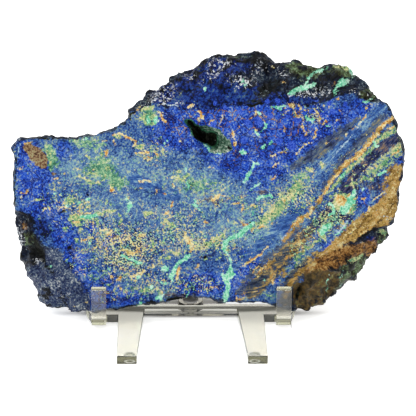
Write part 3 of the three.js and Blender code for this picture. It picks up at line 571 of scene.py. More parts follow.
        [(334, 178, 1.2), (328, 187, 1.4), (323, 194.6, 1.2)], [(320, 198, 1.4), (316.4, 203, 1)],
        [(313.2, 206, 1), (309.6, 213.4, 1.1), (302, 217.7, 1.2), (297, 221.9, 1.2), (292, 228, 1)],
        [(339.5, 198.5, 1.6), (340, 202, 1.8)], [(347.6, 196.4, .9), (351, 192.6, .7)],
        [(348, 213, .7), (353.4, 205.6, .8)], [(362, 198.8, .7), (366, 198.6, .7)],
        [(354, 199.4, .8), (357.6, 197.4, .9)], [(390, 157, .8), (397.6, 151.4, .9), (400.6, 145, .8)],
        [(371, 168.6, .7), (376, 165, .7)], [(386, 178.5, .9), (391, 175, .9)],
        [(374, 200, .7), (379, 196, .8), (385.6, 192, .7)], [(366, 215, .9), (370, 208, .9)],
        [(349, 234, 1), (356, 229, 1)], [(360, 236, .8), (367, 231, .9)], [(53, 179.4, 1.2), (57, 179, 1)],
        [(58, 182.8, .9), (60, 184.4, .9)], [(17, 169.6, .6), (21.5, 169.6, .8), (22.8, 166.3, .7)],
        [(20.2, 192.4, .6), (25.3, 193.7, .9), (27.2, 189.8, .6)], [(43, 212.2, .9), (45.6, 208.8, .9)],
        [(48.9, 204.5, .5), (50.2, 209.6, .7)], [(58.5, 209.3, .6), (64.2, 206.6, .8), (70, 209, .7)],
        [(77.6, 207.7, .6), (82.1, 203.9, .8)], [(84.7, 200.7, .6), (88.6, 203, .7)],
        [(103, 140.6, .7), (106.4, 141, .6)], [(281.8, 82, .8), (286, 82.6, .8)],
        [(273.6, 65.4, .8), (276, 66.2, .7)], [(24.6, 144.4, .8), (31, 142.4, .9)],
    ],
    "brown": [[(28, 147.5, 5), (34, 152.5, 7), (40, 160, 6.6), (43, 165, 3.6)]],
    # Cracks, and painted shade lines along the face's edge, round the vug and under the arch
    "dark": [
        [(187.6, 121.2, 1), (191, 123.5, 1.4), (193.5, 130, 2), (197, 137, 2.6), (203, 139, 4),
         (208, 139, 5), (213, 136.5, 3.4)],
        [(16, 158, .6), (14.6, 180, .7), (14.6, 205, .6)],
        [(22.8, 138.4, .7), (36, 137.6, 1), (54, 138.8, .9)],
        [(129.5, 119, .8), (131, 114, 1.4), (136, 110.6, 1)],
        [(160, 102.6, .8), (165, 106, 1.2), (169, 106.8, .8)],
        [(376, 228, 1), (366, 233.6, 1.2), (356, 242, 1)],
        [(297, 301, 1.4), (298, 292, 1.6), (300, 286, .8)],
        [(167, 300.6, 1.6), (176, 298.8, 2), (183, 297.6, 1.2)], [(119, 308.4, 1), (134, 305.4, 1)],
        [(146, 303, 1.2), (158, 302.6, 1.2)], [(34, 236, 1.2), (38, 250, 3), (44, 262, 2)],
        [(262, 103, 1.4), (251, 106.4, 1.6), (243, 104, 1.4), (233, 101, 1)],
        [(204, 247, .8), (207, 243, .5)], [(224, 120, .9), (224.4, 116, .8)],
        [(218.5, 123, .7), (216, 126, .7)],
    ],
}
BLOBS = {
    # The vug's hollow: its green fringe, and the painted shade inside it
    "vug": [
        (190.5, 123.5, 4.4, 2.6, -35), (197, 131, 6, 5, -50), (204, 137, 8, 5.4, -30), (211, 139, 6, 7, 20),
    ],
    "basin": [
        (221, 144, 11, 9, -30), (217, 134, 8, 5, -40), (227, 148, 6, 4), (215, 150, 5, 4),
        (206, 129, 8, 4, -10),
    ],
    "mint": [
        (129.3, 204.5, 3, 3.4), (87.6, 199.2, 2.4, 1.8, 30), (79, 203, 2.4, 1.6, 30),
        (67.5, 205.5, 3.2, 1.4), (85.8, 138.6, 4, 1.4, 8), (164.4, 269.1, 3.6, 3, 20),
        (151.7, 287.6, 2, 2.5), (138.3, 277.4, 2.2, 2.2), (163.6, 143, 1.5, 1.5),
        (166.4, 141.3, 1.2, .9, -30), (259.2, 113.5, 2, 2), (243.6, 152.6, 3, 3), (243.3, 80.7, 2.3, 2.3),
        (245.3, 84.2, 1.3, 2.2), (89.3, 243, 1, 1.6), (53.4, 193, 1.8, 1.3), (264, 279.3, 1.4, 1.1),
        (240.6, 236.6, 1.6, 1.4), (156.8, 280.3, 1.8, 1), (126.6, 199, 1.3, 3, -25), (329, 126.5, 2.2, .7),
        (148.5, 121, 2, 4), (155, 120, 2.4, 4.4),
    ],
    "lime": [
        (344, 203, 11, 10, -20), (350, 210, 6, 4), (178.7, 171.5, 2.2, 1.8), (207.7, 189, 1.5, 1.2),
        (215.8, 189, 1.9, .9), (101, 155, 1.4, 4), (92.9, 173.3, 3, 1.6), (107, 168, 3, 1.6, 20),
        (111.6, 186, 3.8, 2.6), (84, 252.4, 1.6, 1), (76, 241, 1.6, 3), (65.5, 228.4, 2.4, 1.4),
        (80, 229.6, 1.4, 2, 20), (38, 199.4, 3.2, 1.3), (48.3, 154, 2, 3.6, 20),
        (42.6, 149.6, 1.6, 2.4, 30), (49.5, 163, 1.6, 2.6), (54, 189.2, 1.2, 1.6), (69.3, 201.3, 3, 1.6),
        (218, 258.9, 2.2, 1.1, 20), (234, 254.8, 1.2, 1), (237.8, 250.6, 1, .9), (242, 256.4, .9, .9),
        (287, 203, 1.8, 1.4), (240.4, 186.7, 1, 1.3), (263, 219.4, 1.6, 1.6), (350, 68, 5, 2.4),
        (341, 66.6, 5, 1.2), (294, 222, 1.4, 1.2), (306.8, 247.2, 2.4, 1.4), (292.8, 246.5, 2.2, .9),
        (108.4, 284.6, 1.8, 1), (125.5, 274.2, 3, 1.3, -20), (384, 233, 5, 2.4, -20),
    ],
    "rust": [
        (341, 200, 6, 5, -40), (111.7, 189.6, 3.5, 2.6), (128.3, 194.4, 1.2, 1.8, -30),
        (127.6, 197.6, 2, .7, 45), (106.4, 154, 1.9, 4.3, -8), (173.3, 185, 1.1, 1.8, 20),
        (156.6, 191, 1.4, 1.4), (165, 194.8, 1.4, 1.4), (196, 210, .9, 1), (212.9, 168.4, 1.1, 1.1),
        (209.5, 167.8, 1, 1.1), (141.5, 188.9, 2.8, .8, 15), (284.1, 201, 2, 2), (205.4, 223, 1.8, 2),
        (204, 240.4, 2, 1.6), (212, 287.6, 1.8, 1.3), (199.6, 280, 1.2, 1.2), (206.9, 289.2, .8, .7),
        (197.3, 291.4, .8, .7), (200.8, 291, .8, .6), (93.5, 170, 1.1, 1.1), (99.3, 182.8, .9, .9),
        (78.2, 169.4, 1.7, .7), (133.7, 113.2, .9, .9), (136.9, 110.3, 1.1, 1), (139.4, 107.5, .9, .8),
        (256.4, 129.3, 1.5, 1.3, -40), (263.8, 116.5, .9, .9), (285.7, 153, 1.2, 1.1), (340, 109.8, 1.3, 1),
        (337.6, 120.4, 1.1, 1), (338, 98.6, 1.4, 1.6, 30), (323.6, 106, 1, 1.4), (328.2, 107.2, .8, 1),
        (304.6, 110.4, .9, .8), (346.6, 134.6, 1.2, .8, 40), (326.2, 142.8, 1.3, .9), (281.2, 152, 1.2, .8),
        (296.7, 153.4, 1.2, .9, 30), (313, 170.6, .9, 1.2), (86.5, 203.2, 1.4, .9), (59.2, 201.4, .9, .9),
        (21.5, 198.1, .9, 1.5), (65.5, 173.9, 1.2, .8, -20), (84.6, 178.4, .9, .9), (113.2, 300, 1, 1.3),
        (104, 279.5, 1.2, 1.6), (167.6, 145.9, .9, .9), (157.2, 144.2, .8, .8), (179.6, 141.3, 1, .8, -30),
        (172.2, 132.1, 1, .7, 20), (92.3, 248.8, 1, .8), (154.2, 246.8, 1.1, 1.1), (73, 306, 1, .9),
        (85.5, 303, 1.2, .9, -30), (60, 272, .8, .8), (44, 284, .8, .7),
    ],
    "dark": [
        (87, 194.4, 1.4, 1.6), (103.4, 240.3, .9, 1.8, -20), (69.2, 247.7, 3.2, 1.8, 20),
        (63.4, 212, 4, 1.2, 10), (205, 257, 2, 1.8), (253.8, 233.4, 1.5, 1.2, 20), (252.8, 207.6, .9, .7),
        (249.6, 222, 1.1, .8), (66.4, 163.7, 1.7, .8), (59.1, 147, .9, .8), (117.2, 278, 1, 1.2),
        (133.7, 141.4, 1, .8), (133.4, 148.2, 1.6, 1), (265.3, 139, 1.7, 1, 15), (230, 148, 2.2, 1.4),
        (365.6, 98.3, 2.4, 2), (338.4, 194.8, .9, .8), (303, 245, .8, .8), (275.4, 167.4, .8, .8),
        (277.5, 111.6, 1.6, .8), (229.5, 147, 1, 2.4, 20), (390, 209, 1.1, 1.2), (372, 219, .8, .9),
        (389, 199, .9, 1), (350.6, 128.6, 1.5, .9, 25), (362, 120.6, 1.2, .8, 45), (341, 117.4, 1.2, .8),
        (170, 289, 1.4, 1),
    ],
    "brown": [(292, 106, 3.4, 3), (53.4, 174.4, 2.6, 1.4)],
}

# Round azurite nodules: x, y, radius in pixels
BLOBS["nodule"] = [(x, y, r, r) for x, y, r in [
    (212, 125, 4.6), (297.4, 120.1, 4.4), (258.2, 121.1, 4.4), (267.9, 100.7, 3.4), (277.5, 101.2, 3.5),
    (291.8, 145.6, 5.4), (310.2, 111.9, 2.6), (322.4, 114, 3.2), (287.8, 117, 3.2), (227, 124.6, 3),
    (240, 112, 4), (247, 122.5, 4.2), (235, 101.5, 3), (225, 108, 3.4), (279, 141, 4.4),
    (244, 140.5, 3.4), (290.5, 96, 2.8), (302, 137.5, 3.6), (333, 112, 3.6), (215, 103, 3),
    (250, 133, 3), (270.5, 116, 3.6), (281, 125.5, 2.8), (316, 100.5, 2.6), (329, 104, 3),
    (295, 131, 3), (262.5, 154, 3.2), (346, 104, 3.2), (236.4, 127, 2.6),
]]
MARKS = ("frost", "mint", "lime", "rust", "dark", "brown", "basin", "vug", "nodule")

# Grain of the stone, each a noise: along which axes, size in mm, detail, roughness
GRAINS = {
    "dust": ("rock", 0.55, 2, 0.6),
    "fine": ("rock", 0.95, 3, 0.65),
    "speck": ("rock_b", 0.8, 1, 0.5),
    "fleck": ("rock", 1.3, 4, 0.75),
    "clot": ("rock", 2.8, 5, 0.75),
    "tuft": ("rock_b", 2.0, 5, 0.8),
    "tint": ("rock_b", 3.6, 3, 0.65),
    "broad": ("rock_b", 7.0, 2, 0.6),
    "worm_path": ("rock_b", 2.9, 2, 0.6),
    "worm_gate": ("rock", 3.3, 2, 0.7),
    "streak": ("bedding", 2.6, 4, 0.7),
    "thread": ("bedding", 1.1, 4, 0.75),
}

# Minerals, with painted glints and painted shade among them, laid one over the other: colours over a
# grain, then where each shows. A place is: field, its gain, grain, its amount, and the sum at which it
# starts and is full.
FACE = ("rim", 1, "clot", 4.4, 2.45, 1.9)
RIM = ("rim", 1, "clot", 4.4, 1.9, 2.45)
LAYERS = (
    ("slate blue azurite", "fine",
     [(0.36, "#142658"), (0.43, "#24448a"), (0.49, "#3860a6"), (0.55, "#4c76b0"), (0.61, "#7093a0"),
      (0.67, "#a8b094")],
     []),
    ("royal blue azurite", "fine",
     [(0.36, "#06144e"), (0.43, "#12329c"), (0.5, "#2050c8"), (0.57, "#3c6cd2"), (0.63, "#6a8cc4"),
      (0.7, "#b4b8b4")],
     [("vivid", 1, "clot", 2.4, 1.45, 1.85)]),
    ("milky azurite", "fine", [(0.38, "#3c5c98"), (0.46, "#4a70ac"), (0.54, "#648cb8"), (0.62, "#8cb0b8")],
     [("teal", 1, "clot", 2.4, 1.6, 2.1), FACE]),
    ("pale copper dust", "tint", [(0.38, "#7cb4a8"), (0.5, "#9cc4ac"), (0.6, "#bccca0"), (0.68, "#e0d8a0")],
     [("teal", 0.5, "fleck", 3.4, 2.32, 2.46), FACE]),
    ("steel blue threads", "thread",
     [(0.36, "#20407e"), (0.46, "#345ca4"), (0.55, "#5480b8"), (0.64, "#94b8c8")],
     [("steel", 0.8, "clot", 3.4, 2.2, 2.5)]),
    ("dusky beds", "thread",
     [(0.37, "#202840"), (0.45, "#36446a"), (0.52, "#4a5c7c"), (0.59, "#607080"), (0.65, "#7c7c64"),
      (0.71, "#a89870")],
     [("dusk", 0.9, "tuft", 3.6, 2.2, 2.5)]),
    ("umber beds", "thread",
     [(0.36, "#161c2c"), (0.43, "#2c3850"), (0.5, "#46525e"), (0.56, "#6a6654"), (0.61, "#a4864e"),
      (0.67, "#ccb47c"), (0.73, "#e4dcb4")],
     [("umber", 0.9, "tuft", 3.4, 2.1, 2.4)]),
    ("malachite clouds", "fleck",
     [(0.36, "#2f6250"), (0.44, "#4f8c6e"), (0.51, "#78b08c"), (0.58, "#a6cc9a"), (0.66, "#dadcac")],
     [("green", 0.75, "tuft", 3.4, 2.25, 2.45)]),
    ("pale malachite", "fleck",
     [(0.37, "#5a8668"), (0.44, "#8ab48c"), (0.51, "#b2c894"), (0.57, "#d0cc90"), (0.65, "#e6deb2")],
     [("pale", 0.8, "fleck", 4, 2.68, 2.86)]),
    ("indigo beds", "thread",
     [(0.38, "#10142a"), (0.46, "#222a52"), (0.53, "#36406a"), (0.6, "#5c5a68"), (0.68, "#94785c")],
     [("indigo", 0.9, "tuft", 3.4, 2.1, 2.4)]),
    ("limonite beds", "streak",
     [(0.34, "#4c3a20"), (0.41, "#86662e"), (0.47, "#a88a48"), (0.52, "#b89c58"), (0.57, "#c8924a"),
      (0.62, "#bfae74"), (0.7, "#dcd29c")],
     [("ochre", 1, "tuft", 3.4, 2.2, 2.5)]),
    ("limonite grains", "fleck",
     [(0.38, "#5c421e"), (0.46, "#94743a"), (0.53, "#c09a5c"), (0.62, "#e0d29c")],
     [("ochre", 1, "speck", 5, 3.6, 3.75), ("ochre", 1, "tuft", 3.4, 2.4, 2.6)]),
    ("nodule gaps", "dust", [(0.4, "#0a1040"), (0.55, "#1a3080"), (0.66, "#5a74b8")],
     [("vivid", 1, "clot", 1.6, 1.35, 1.6), ("cell_edge", -1, "dust", 0.16, 0.0, 0.05), FACE]),
    ("limonite in gaps", "fleck", [(0.4, "#7a4c20"), (0.5, "#b98448"), (0.6, "#dcb880")],
     [("vivid", 0.6, "tuft", 3, 2.3, 2.45), ("cell_edge", -1, "dust", 0.1, 0.0, 0.04), FACE]),
    ("broken azurite", "fleck",
     [(0.38, "#020408"), (0.45, "#081024"), (0.51, "#121e3a"), (0.57, "#263444"), (0.63, "#4c5a64"),
      (0.7, "#98a4a8")],
     [RIM]),
    ("deep blue rim", "fleck",
     [(0.38, "#02050f"), (0.45, "#08153e"), (0.52, "#122c84"), (0.59, "#1e4698"), (0.66, "#3e6078"),
      (0.72, "#8c9c90")],
     [("deep", 1, "tuft", 2.8, 1.9, 2.15)]),
    ("limonite crust", "fleck",
     [(0.36, "#2c2012"), (0.43, "#5c3e1e"), (0.49, "#8c5e2c"), (0.55, "#a87c44"), (0.62, "#b89c5e"),
      (0.7, "#d2c690")],
     [("crust", 1, "tuft", 2, 1.5, 1.85), ("rim", 1, "clot", 4.4, 1.6, 2.0)]),
    ("grey weathered rim", "fine",
     [(0.36, "#0e1630"), (0.43, "#1f2f60"), (0.5, "#3a4864"), (0.56, "#506078"), (0.63, "#7c8898"),
      (0.7, "#c2c6c0")],
     [("ash", 1, "tuft", 2, 1.4, 1.7), RIM]),
    ("green weathered rim", "fleck",
     [(0.37, "#16180e"), (0.46, "#34361f"), (0.53, "#4a5236"), (0.6, "#62805a"), (0.68, "#9aae84")],
     [("moss", 1, "tuft", 2.6, 1.75, 2.05), RIM]),
    ("smooth brown skin", "clot",
     [(0.36, "#241e12"), (0.44, "#403724"), (0.51, "#52462c"), (0.57, "#6e5026"), (0.63, "#5c683c"),
      (0.7, "#a08c60")],
     [("bark", 1, "tuft", 1.6, 1.2, 1.5), ("rim", 1, "clot", 4.4, 1.6, 2.0)]),
    # Painted shade: near black laid where hollows and the arch's underside lie in shade
    ("painted shade in hollows", "fine", [(0.38, "#030404"), (0.52, "#0c1012"), (0.64, "#2c3634")],
     [("hollow_shade", 1, "tuft", 2.4, 1.7, 2.0)]),
    # Painted shade: near black where the rim's crags sink below their crests
    ("painted shade in rim crevices", "fine", [(0.4, "#020304"), (0.56, "#0d1118"), (0.68, "#28303a")],
     [("crag", -1, "fleck", 2.4, 1.7, 2.0), RIM]),
    ("worm rims", "tint", [(0.36, "#429c7c"), (0.48, "#74c49a"), (0.58, "#a8cf94"), (0.66, "#d4d094")],
     [("worm", 1, "dust", 0.6, 0.35, 0.55), ("busy", 0.6, "worm_gate", 3, 2.05, 2.25), FACE]),
    ("worm cores", "fleck", [(0.36, "#a07038"), (0.46, "#ccaa5c"), (0.54, "#e0d086"), (0.64, "#f2eab8")],
     [("worm", 1, "dust", 0.6, 0.85, 1.1), ("busy", 0.6, "worm_gate", 3, 2.1, 2.3), FACE]),
    ("cream specks", "tint", [(0.38, "#8fd8b0"), (0.46, "#dce0a4"), (0.55, "#f0e2a0"), (0.64, "#dcb068")],
     [("busy", 0.34, "speck", 3, 2.12, 2.18), ("busy", 0.5, "tuft", 3, 1.75, 1.95), FACE]),
    ("navy specks", "dust", [(0.4, "#0c1430"), (0.6, "#24304c")],
     [("busy", 0.34, "speck", -3, -0.83, -0.77), ("busy", 0.5, "clot", 3, 1.88, 2.08), FACE]),
    ("nodules", "dust", [(0.36, "#18349c"), (0.5, "#2c52cc"), (0.62, "#5a7cdc")],
     [("nodule", 1, "fine", 2, 1.5, 2.2)]),
    ("brown jasper", "fine", [(0.37, "#4a3628"), (0.45, "#806048"), (0.53, "#987c5c"), (0.62, "#a8a478")],
     [("brown", 1, "fleck", 5, 2.3, 2.8)]),
    ("lime malachite", "fine",
     [(0.38, "#4a8a68"), (0.46, "#86b47e"), (0.53, "#b9c98a"), (0.6, "#dcd498"), (0.68, "#eee6c0")],
     [("lime", 1, "fleck", 9, 4.3, 4.8)]),
    ("pale streaks", "fine", [(0.4, "#7ca4c8"), (0.53, "#accadc"), (0.64, "#dce8e8")],
     [("frost", 1, "fleck", 6, 2.8, 3.3)]),
    ("mint malachite", "fine", [(0.37, "#58b890"), (0.45, "#80dcb0"), (0.53, "#a6eaca"), (0.64, "#daf8e6")],
     [("mint", 1, "fleck", 8, 3.9, 4.4)]),
    ("cream rims", "fine", [(0.38, "#b8a058"), (0.47, "#dccc84"), (0.58, "#f2e8b8")],
     [("rust", 1, "fleck", 9, 4.45, 4.95)]),
    ("orange cores", "fine", [(0.37, "#a0642a"), (0.46, "#d89848"), (0.54, "#e8b866"), (0.64, "#f4dc9c")],
     [("rust", 1, "tuft", 7, 3.85, 4.3), ("busy", -0.5, "clot", 3, 0.95, 1.25)]),
    ("vug basin", "fleck",
     [(0.38, "#16241c"), (0.45, "#315242"), (0.52, "#4f7660"), (0.58, "#8a9c8c"), (0.66, "#c8d0c4")],
     [("basin", 1, "fine", 3, 1.3, 1.9)]),
    ("vug fringe", "fine", [(0.4, "#14301f"), (0.5, "#2c6246"), (0.62, "#5a9a74")],
     [("vug", 1, "fleck", 4, 0.4, 1.0)]),
    # Painted shade: near black down in the vug's hollow
    ("painted shade in the vug", "fleck", [(0.4, "#010201"), (0.54, "#060a08"), (0.64, "#24302a"), (0.72, "#8a958c")],
     [("vug", 1, "fine", 2, 0.9, 1.5)]),
    # Dark cracks and spots, with painted shade lines along the face's edge and under the arch
    ("dark cracks and painted edge shade", "fine", [(0.4, "#020303"), (0.58, "#10140f"), (0.7, "#39402f")],
     [("dark", 1, "fleck", 4, 1.9, 2.4)]),
    # Painted highlights: pale crystal faces clustered in the glint zones, and scattered over the rim's
    # crests
    ("painted glints on crystal faces", "dust", [(0.42, "#8c98a8"), (0.56, "#f0f2f4")],
     [("facet", 1, "dust", 1.4, 1.4, 1.5), ("glint", 1, "tuft", 3.4, 2.25, 2.5), RIM]),
    ("scattered glints", "dust", [(0.42, "#4c5866"), (0.6, "#a8b4bc")],
     [("facet", 1, "dust", 1.4, 1.6, 1.7), ("crag", 0.4, "tuft", 2.4, 1.5, 1.7),
      ("bark", -4, "dust", 0, -0.2, 0), ("ochre", -4, "dust", 0, -0.8, -0.4), RIM]),
)


def linear(hex_colour, share=1.0):
    """An sRGB hex colour as linear red, green, blue, or a share of it."""
    values = [int(hex_colour[i:i + 2], 16) / 255 for i in (1, 3, 5)]
    return tuple(share * (v / 12.92 if v <= 0.04045 else ((v + 0.055) / 1.055) ** 2.4) for v in values)


def add_node(tree, kind, inputs=None, **settings):
    """Adds a node with its settings; each input is a value or the output that feeds it."""
    node = tree.nodes.new(kind)
    for name, value in settings.items():
        setattr(node, name, value)
    for name, value in (inputs or {}).items():
        socket = node.inputs[name]
        if isinstance(value, bpy.types.NodeSocket):
            tree.links.new(value, socket)
        else:
            socket.default_value = value
    return node


def new_material(name):
    """An empty node material with its output; returns the material, its tree and the output."""
    material = bpy.data.materials.new(name)
    material.use_nodes = True
    material.node_tree.nodes.clear()
    return material, material.node_tree, material.node_tree.nodes.new("ShaderNodeOutputMaterial")


def mesh_object(name, verts, faces, material):
    """A mesh piece that rides on the object's one body."""
    mesh = bpy.data.meshes.new(name)
    mesh.from_pydata(verts, [], faces)
    mesh.materials.append(material)
    piece = bpy.data.objects.new(name, mesh)
    bpy.context.scene.collection.objects.link(piece)
    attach(piece, ROOT)
    return piece


# Shape of the stone, in mm in the slab's own frame: u along the face, depth behind it, v up it

def to_face(points):
    """Pixels of the photograph as u and v on the face."""
    points = np.asarray(points, float)
    return np.stack([(points[..., 0] - FACE_PX[0]), (FACE_PX[1] - points[..., 1])], -1) / PX_PER_MM


def to_pixels(u, v):
    """u and v on the face as pixels of the photograph."""
    return FACE_PX[0] + PX_PER_MM * u, FACE_PX[1] - PX_PER_MM * v


HUB = to_face(HUB_PX)


def sector_angles(outline, count):
    """Directions from the hub that cut the outline in equal steps."""
    closed = np.vstack([outline, outline[:1]])
    lengths = np.hypot(*np.diff(closed, axis=0).T)
    walked = np.concatenate([[0], np.cumsum(lengths)])
    at = np.arange(count) * walked[-1] / count
    points = np.stack([np.interp(at, walked, closed[:, i]) for i in (0, 1)], 1) - HUB
    return np.arctan2(points[:, 1], points[:, 0])


def reach(outline, angles):
    """Distance from the hub to the outline in each direction."""
    start = outline - HUB
    edge = np.roll(outline, -1, 0) - outline
    ray = np.stack([np.cos(angles), np.sin(angles)], 1)[:, None]
    across = ray[..., 0] * edge[:, 1] - ray[..., 1] * edge[:, 0]
    across = np.where(np.abs(across) < TINY, TINY, across)
    share = (ray[..., 0] * start[:, 1] - ray[..., 1] * start[:, 0]) / -across
    distance = (start[:, 0] * edge[:, 1] - start[:, 1] * edge[:, 0]) / across
    return np.where((share >= 0) & (share <= 1), distance, 0).max(1)


def ring_reach(u, v, angles, radii):
    """Distance from the hub to a ring of points, in the direction of each place measured from the hub."""
    order = np.argsort(angles)
    return np.interp(np.arctan2(v, u), angles[order], radii[order], period=2 * math.pi)


def lumps(x, y, z):
    """Broken rock, from -1 to 1: broad swells with creased ledges and chips across them.

    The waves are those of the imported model, so that both rims have the same lumps.
    """
    broad = np.sin(0.19 * x + 0.9 * np.sin(0.13 * y + 0.24 * z)) * np.cos(0.17 * y - 0.21 * z)
    ledge = 1 - 2 * np.abs(np.sin(0.3 * x + 0.16 * z + 0.8 * np.sin(0.21 * y + 0.1 * x)))
    chips = 1 - 2 * np.abs(np.sin(0.4 * z - 0.2 * x + 1.1 * np.sin(0.3 * x + 0.34 * y)))
    return 0.4 * broad + 0.35 * ledge + 0.25 * chips


def grit(points, size, seed):
    """Smooth value noise from -1 to 1 with cells of one size in mm."""
    grid = points / size + seed * SEED_SHIFT
    cell = np.floor(grid).astype(np.int64)
    part = grid - cell
    part = part * part * (3 - 2 * part)
    total = 0
    for corner in range(8):
        step = np.array([corner & 1, corner >> 1 & 1, corner >> 2 & 1])
        key = (cell + step) @ np.array(STIR_PLACE) + seed * STIR_SEED
        key = (key ^ (key >> 13)) * STIR_AGAIN
        value = ((key ^ (key >> 16)) & 0xFFFF) / 32767.5 - 1
        total = total + value * np.prod(np.where(step, part, 1 - part), -1)
    return total


def roughen(values, points, layers):
    """Values with layers of grit added, each a height, a cell size and a seed."""
    return sum((height * grit(points, size, seed) for height, size, seed in layers), values)


def relief(u, v):
    """Height of the knobs and hollows in the front."""
    total = np.zeros_like(u)
    for x, y, along, across, turn, height in RELIEF:
        place = to_face((x, y))
        turn = math.radians(turn)
        du, dv = u - place[0], v - place[1]
        a = (du * math.cos(turn) + dv * math.sin(turn)) / along
        b = (dv * math.cos(turn) - du * math.sin(turn)) / across
        total += height * np.exp(-((a * a + b * b) ** KNOB_FALLOFF))
    return total


def lowest(u, depth):
    """How far up the face the slab starts, so that it stands on the sheet and arches over the screw."""
    from_arch = (u - to_face((ARCH_PX, 0))[0]) / ARCH_HALF_MM
    room = depth / THICKNESS_MM * ARCH_RISE_MM * np.exp(-(from_arch ** ARCH_FALLOFF))
    return (room + GAP_MM - SLAB_FOOT_MM[1] + SHEET_MM + depth * math.sin(LEAN)) / math.cos(LEAN)


def stroke_field(x, y, strokes):
    """Signed distance in pixels into the nearest stroke, above zero inside it."""
    best = np.full_like(x, OFF_MARK)
    for stroke in strokes:
        for (ax, ay, aw), (bx, by, bw) in zip(stroke, stroke[1:]):
            length = max((bx - ax) ** 2 + (by - ay) ** 2, TINY)
            share = np.clip(((x - ax) * (bx - ax) + (y - ay) * (by - ay)) / length, 0, 1)
            away = np.hypot(x - ax - share * (bx - ax), y - ay - share * (by - ay))
            best = np.maximum(best, aw + share * (bw - aw) - away)
    return best


def blob_distance(x, y, cx, cy, along, across, turn=0):
    """Distance from a blob's middle, 1 on its edge."""
    turn = math.radians(turn)
    a = (x - cx) * math.cos(turn) - (y - cy) * math.sin(turn)
    b = (x - cx) * math.sin(turn) + (y - cy) * math.cos(turn)
    return np.hypot(a / along, b / across)


def bedding(x, y):
    """How far each pixel place lies along the bedding and across it, in mm."""
    x, y = x - BEND_PX[0], y - BEND_PX[1]
    turn = np.clip(np.arctan2(x, y), BEND_FROM, BEND_TO)
    across = x * np.sin(turn) + y * np.cos(turn)
    along = BEND_RADIUS_PX * turn + x * np.cos(turn) - y * np.sin(turn)
    return along / PX_PER_MM, across / PX_PER_MM


def painted_fields(x, y):
    """The named zones and marks of the stone at each pixel place."""
    fields = {}
    for name in ZONES:
        total = np.zeros_like(x)
        for cx, cy, along, across, amount, *turn in CLOUDS.get(name, []):
            total += amount * np.exp(-blob_distance(x, y, cx, cy, along, across, *turn) ** ZONE_FALLOFF)
        beds = 0.5 + stroke_field(x, y, BANDS.get(name, [])) / BAND_EDGE_PX
        fields[name] = np.clip(np.maximum(total, BAND_STRENGTH * np.clip(beds, 0, 1)), 0, ZONE_LIMIT)
    for name in MARKS:
        best = stroke_field(x, y, STROKES.get(name, []))
        for cx, cy, along, across, *turn in BLOBS.get(name, []):
            inward = 1 - blob_distance(x, y, cx, cy, along, across, *turn)
            best = np.maximum(best, inward * min(along, across))
        fields[name] = best
    return fields


def inside_points(angles, radii, step):
    """Even points inside a ring round the hub, a step apart and clear of its edge."""
    wide, high = SEARCH_HALF_MM
    rows = np.arange(-high, high, step * math.sqrt(3) / 2)
    across = np.arange(-wide, wide, step)
    u = across[None] + np.where(np.arange(len(rows)) % 2, step / 2, 0)[:, None]
    v = np.broadcast_to(rows[:, None], u.shape)
    keep = np.hypot(u, v) < ring_reach(u, v, angles, radii) - EDGE_CLEARANCE * step
    return HUB + np.stack([u[keep], v[keep]], -1)


def inside(points, loop):
    """Whether each point lies inside a closed loop."""
    start, end = loop, np.roll(loop, -1, 0)
    x, y = points[:, :1], points[:, 1:]
    crosses = (start[:, 1] > y) != (end[:, 1] > y)
    rise = np.where(end[:, 1] == start[:, 1], 1, end[:, 1] - start[:, 1])
    at = start[:, 0] + (y - start[:, 1]) / rise * (end[:, 0] - start[:, 0])
    return (crosses & (x < at)).sum(1) % 2 == 1


def fill(loop, inner):
    """Triangles over a closed loop of points and the points inside it, counted in that order."""
    count = len(loop)
    points = np.vstack([loop, inner])
    edges = [(i, (i + 1) % count) for i in range(count)]
    filled = delaunay_2d_cdt([Vector(point) for point in points], edges, [], 0, TINY, False)
    if len(filled[0]) != len(points):
        raise ValueError("two points of the stone's face fell on one place")
    triangles = np.array(filled[2])
    bridges = (triangles < count).all(1)
    keep = ~bridges
    keep[bridges] = inside(points[triangles[bridges]].mean(1), loop)
    return triangles[keep]


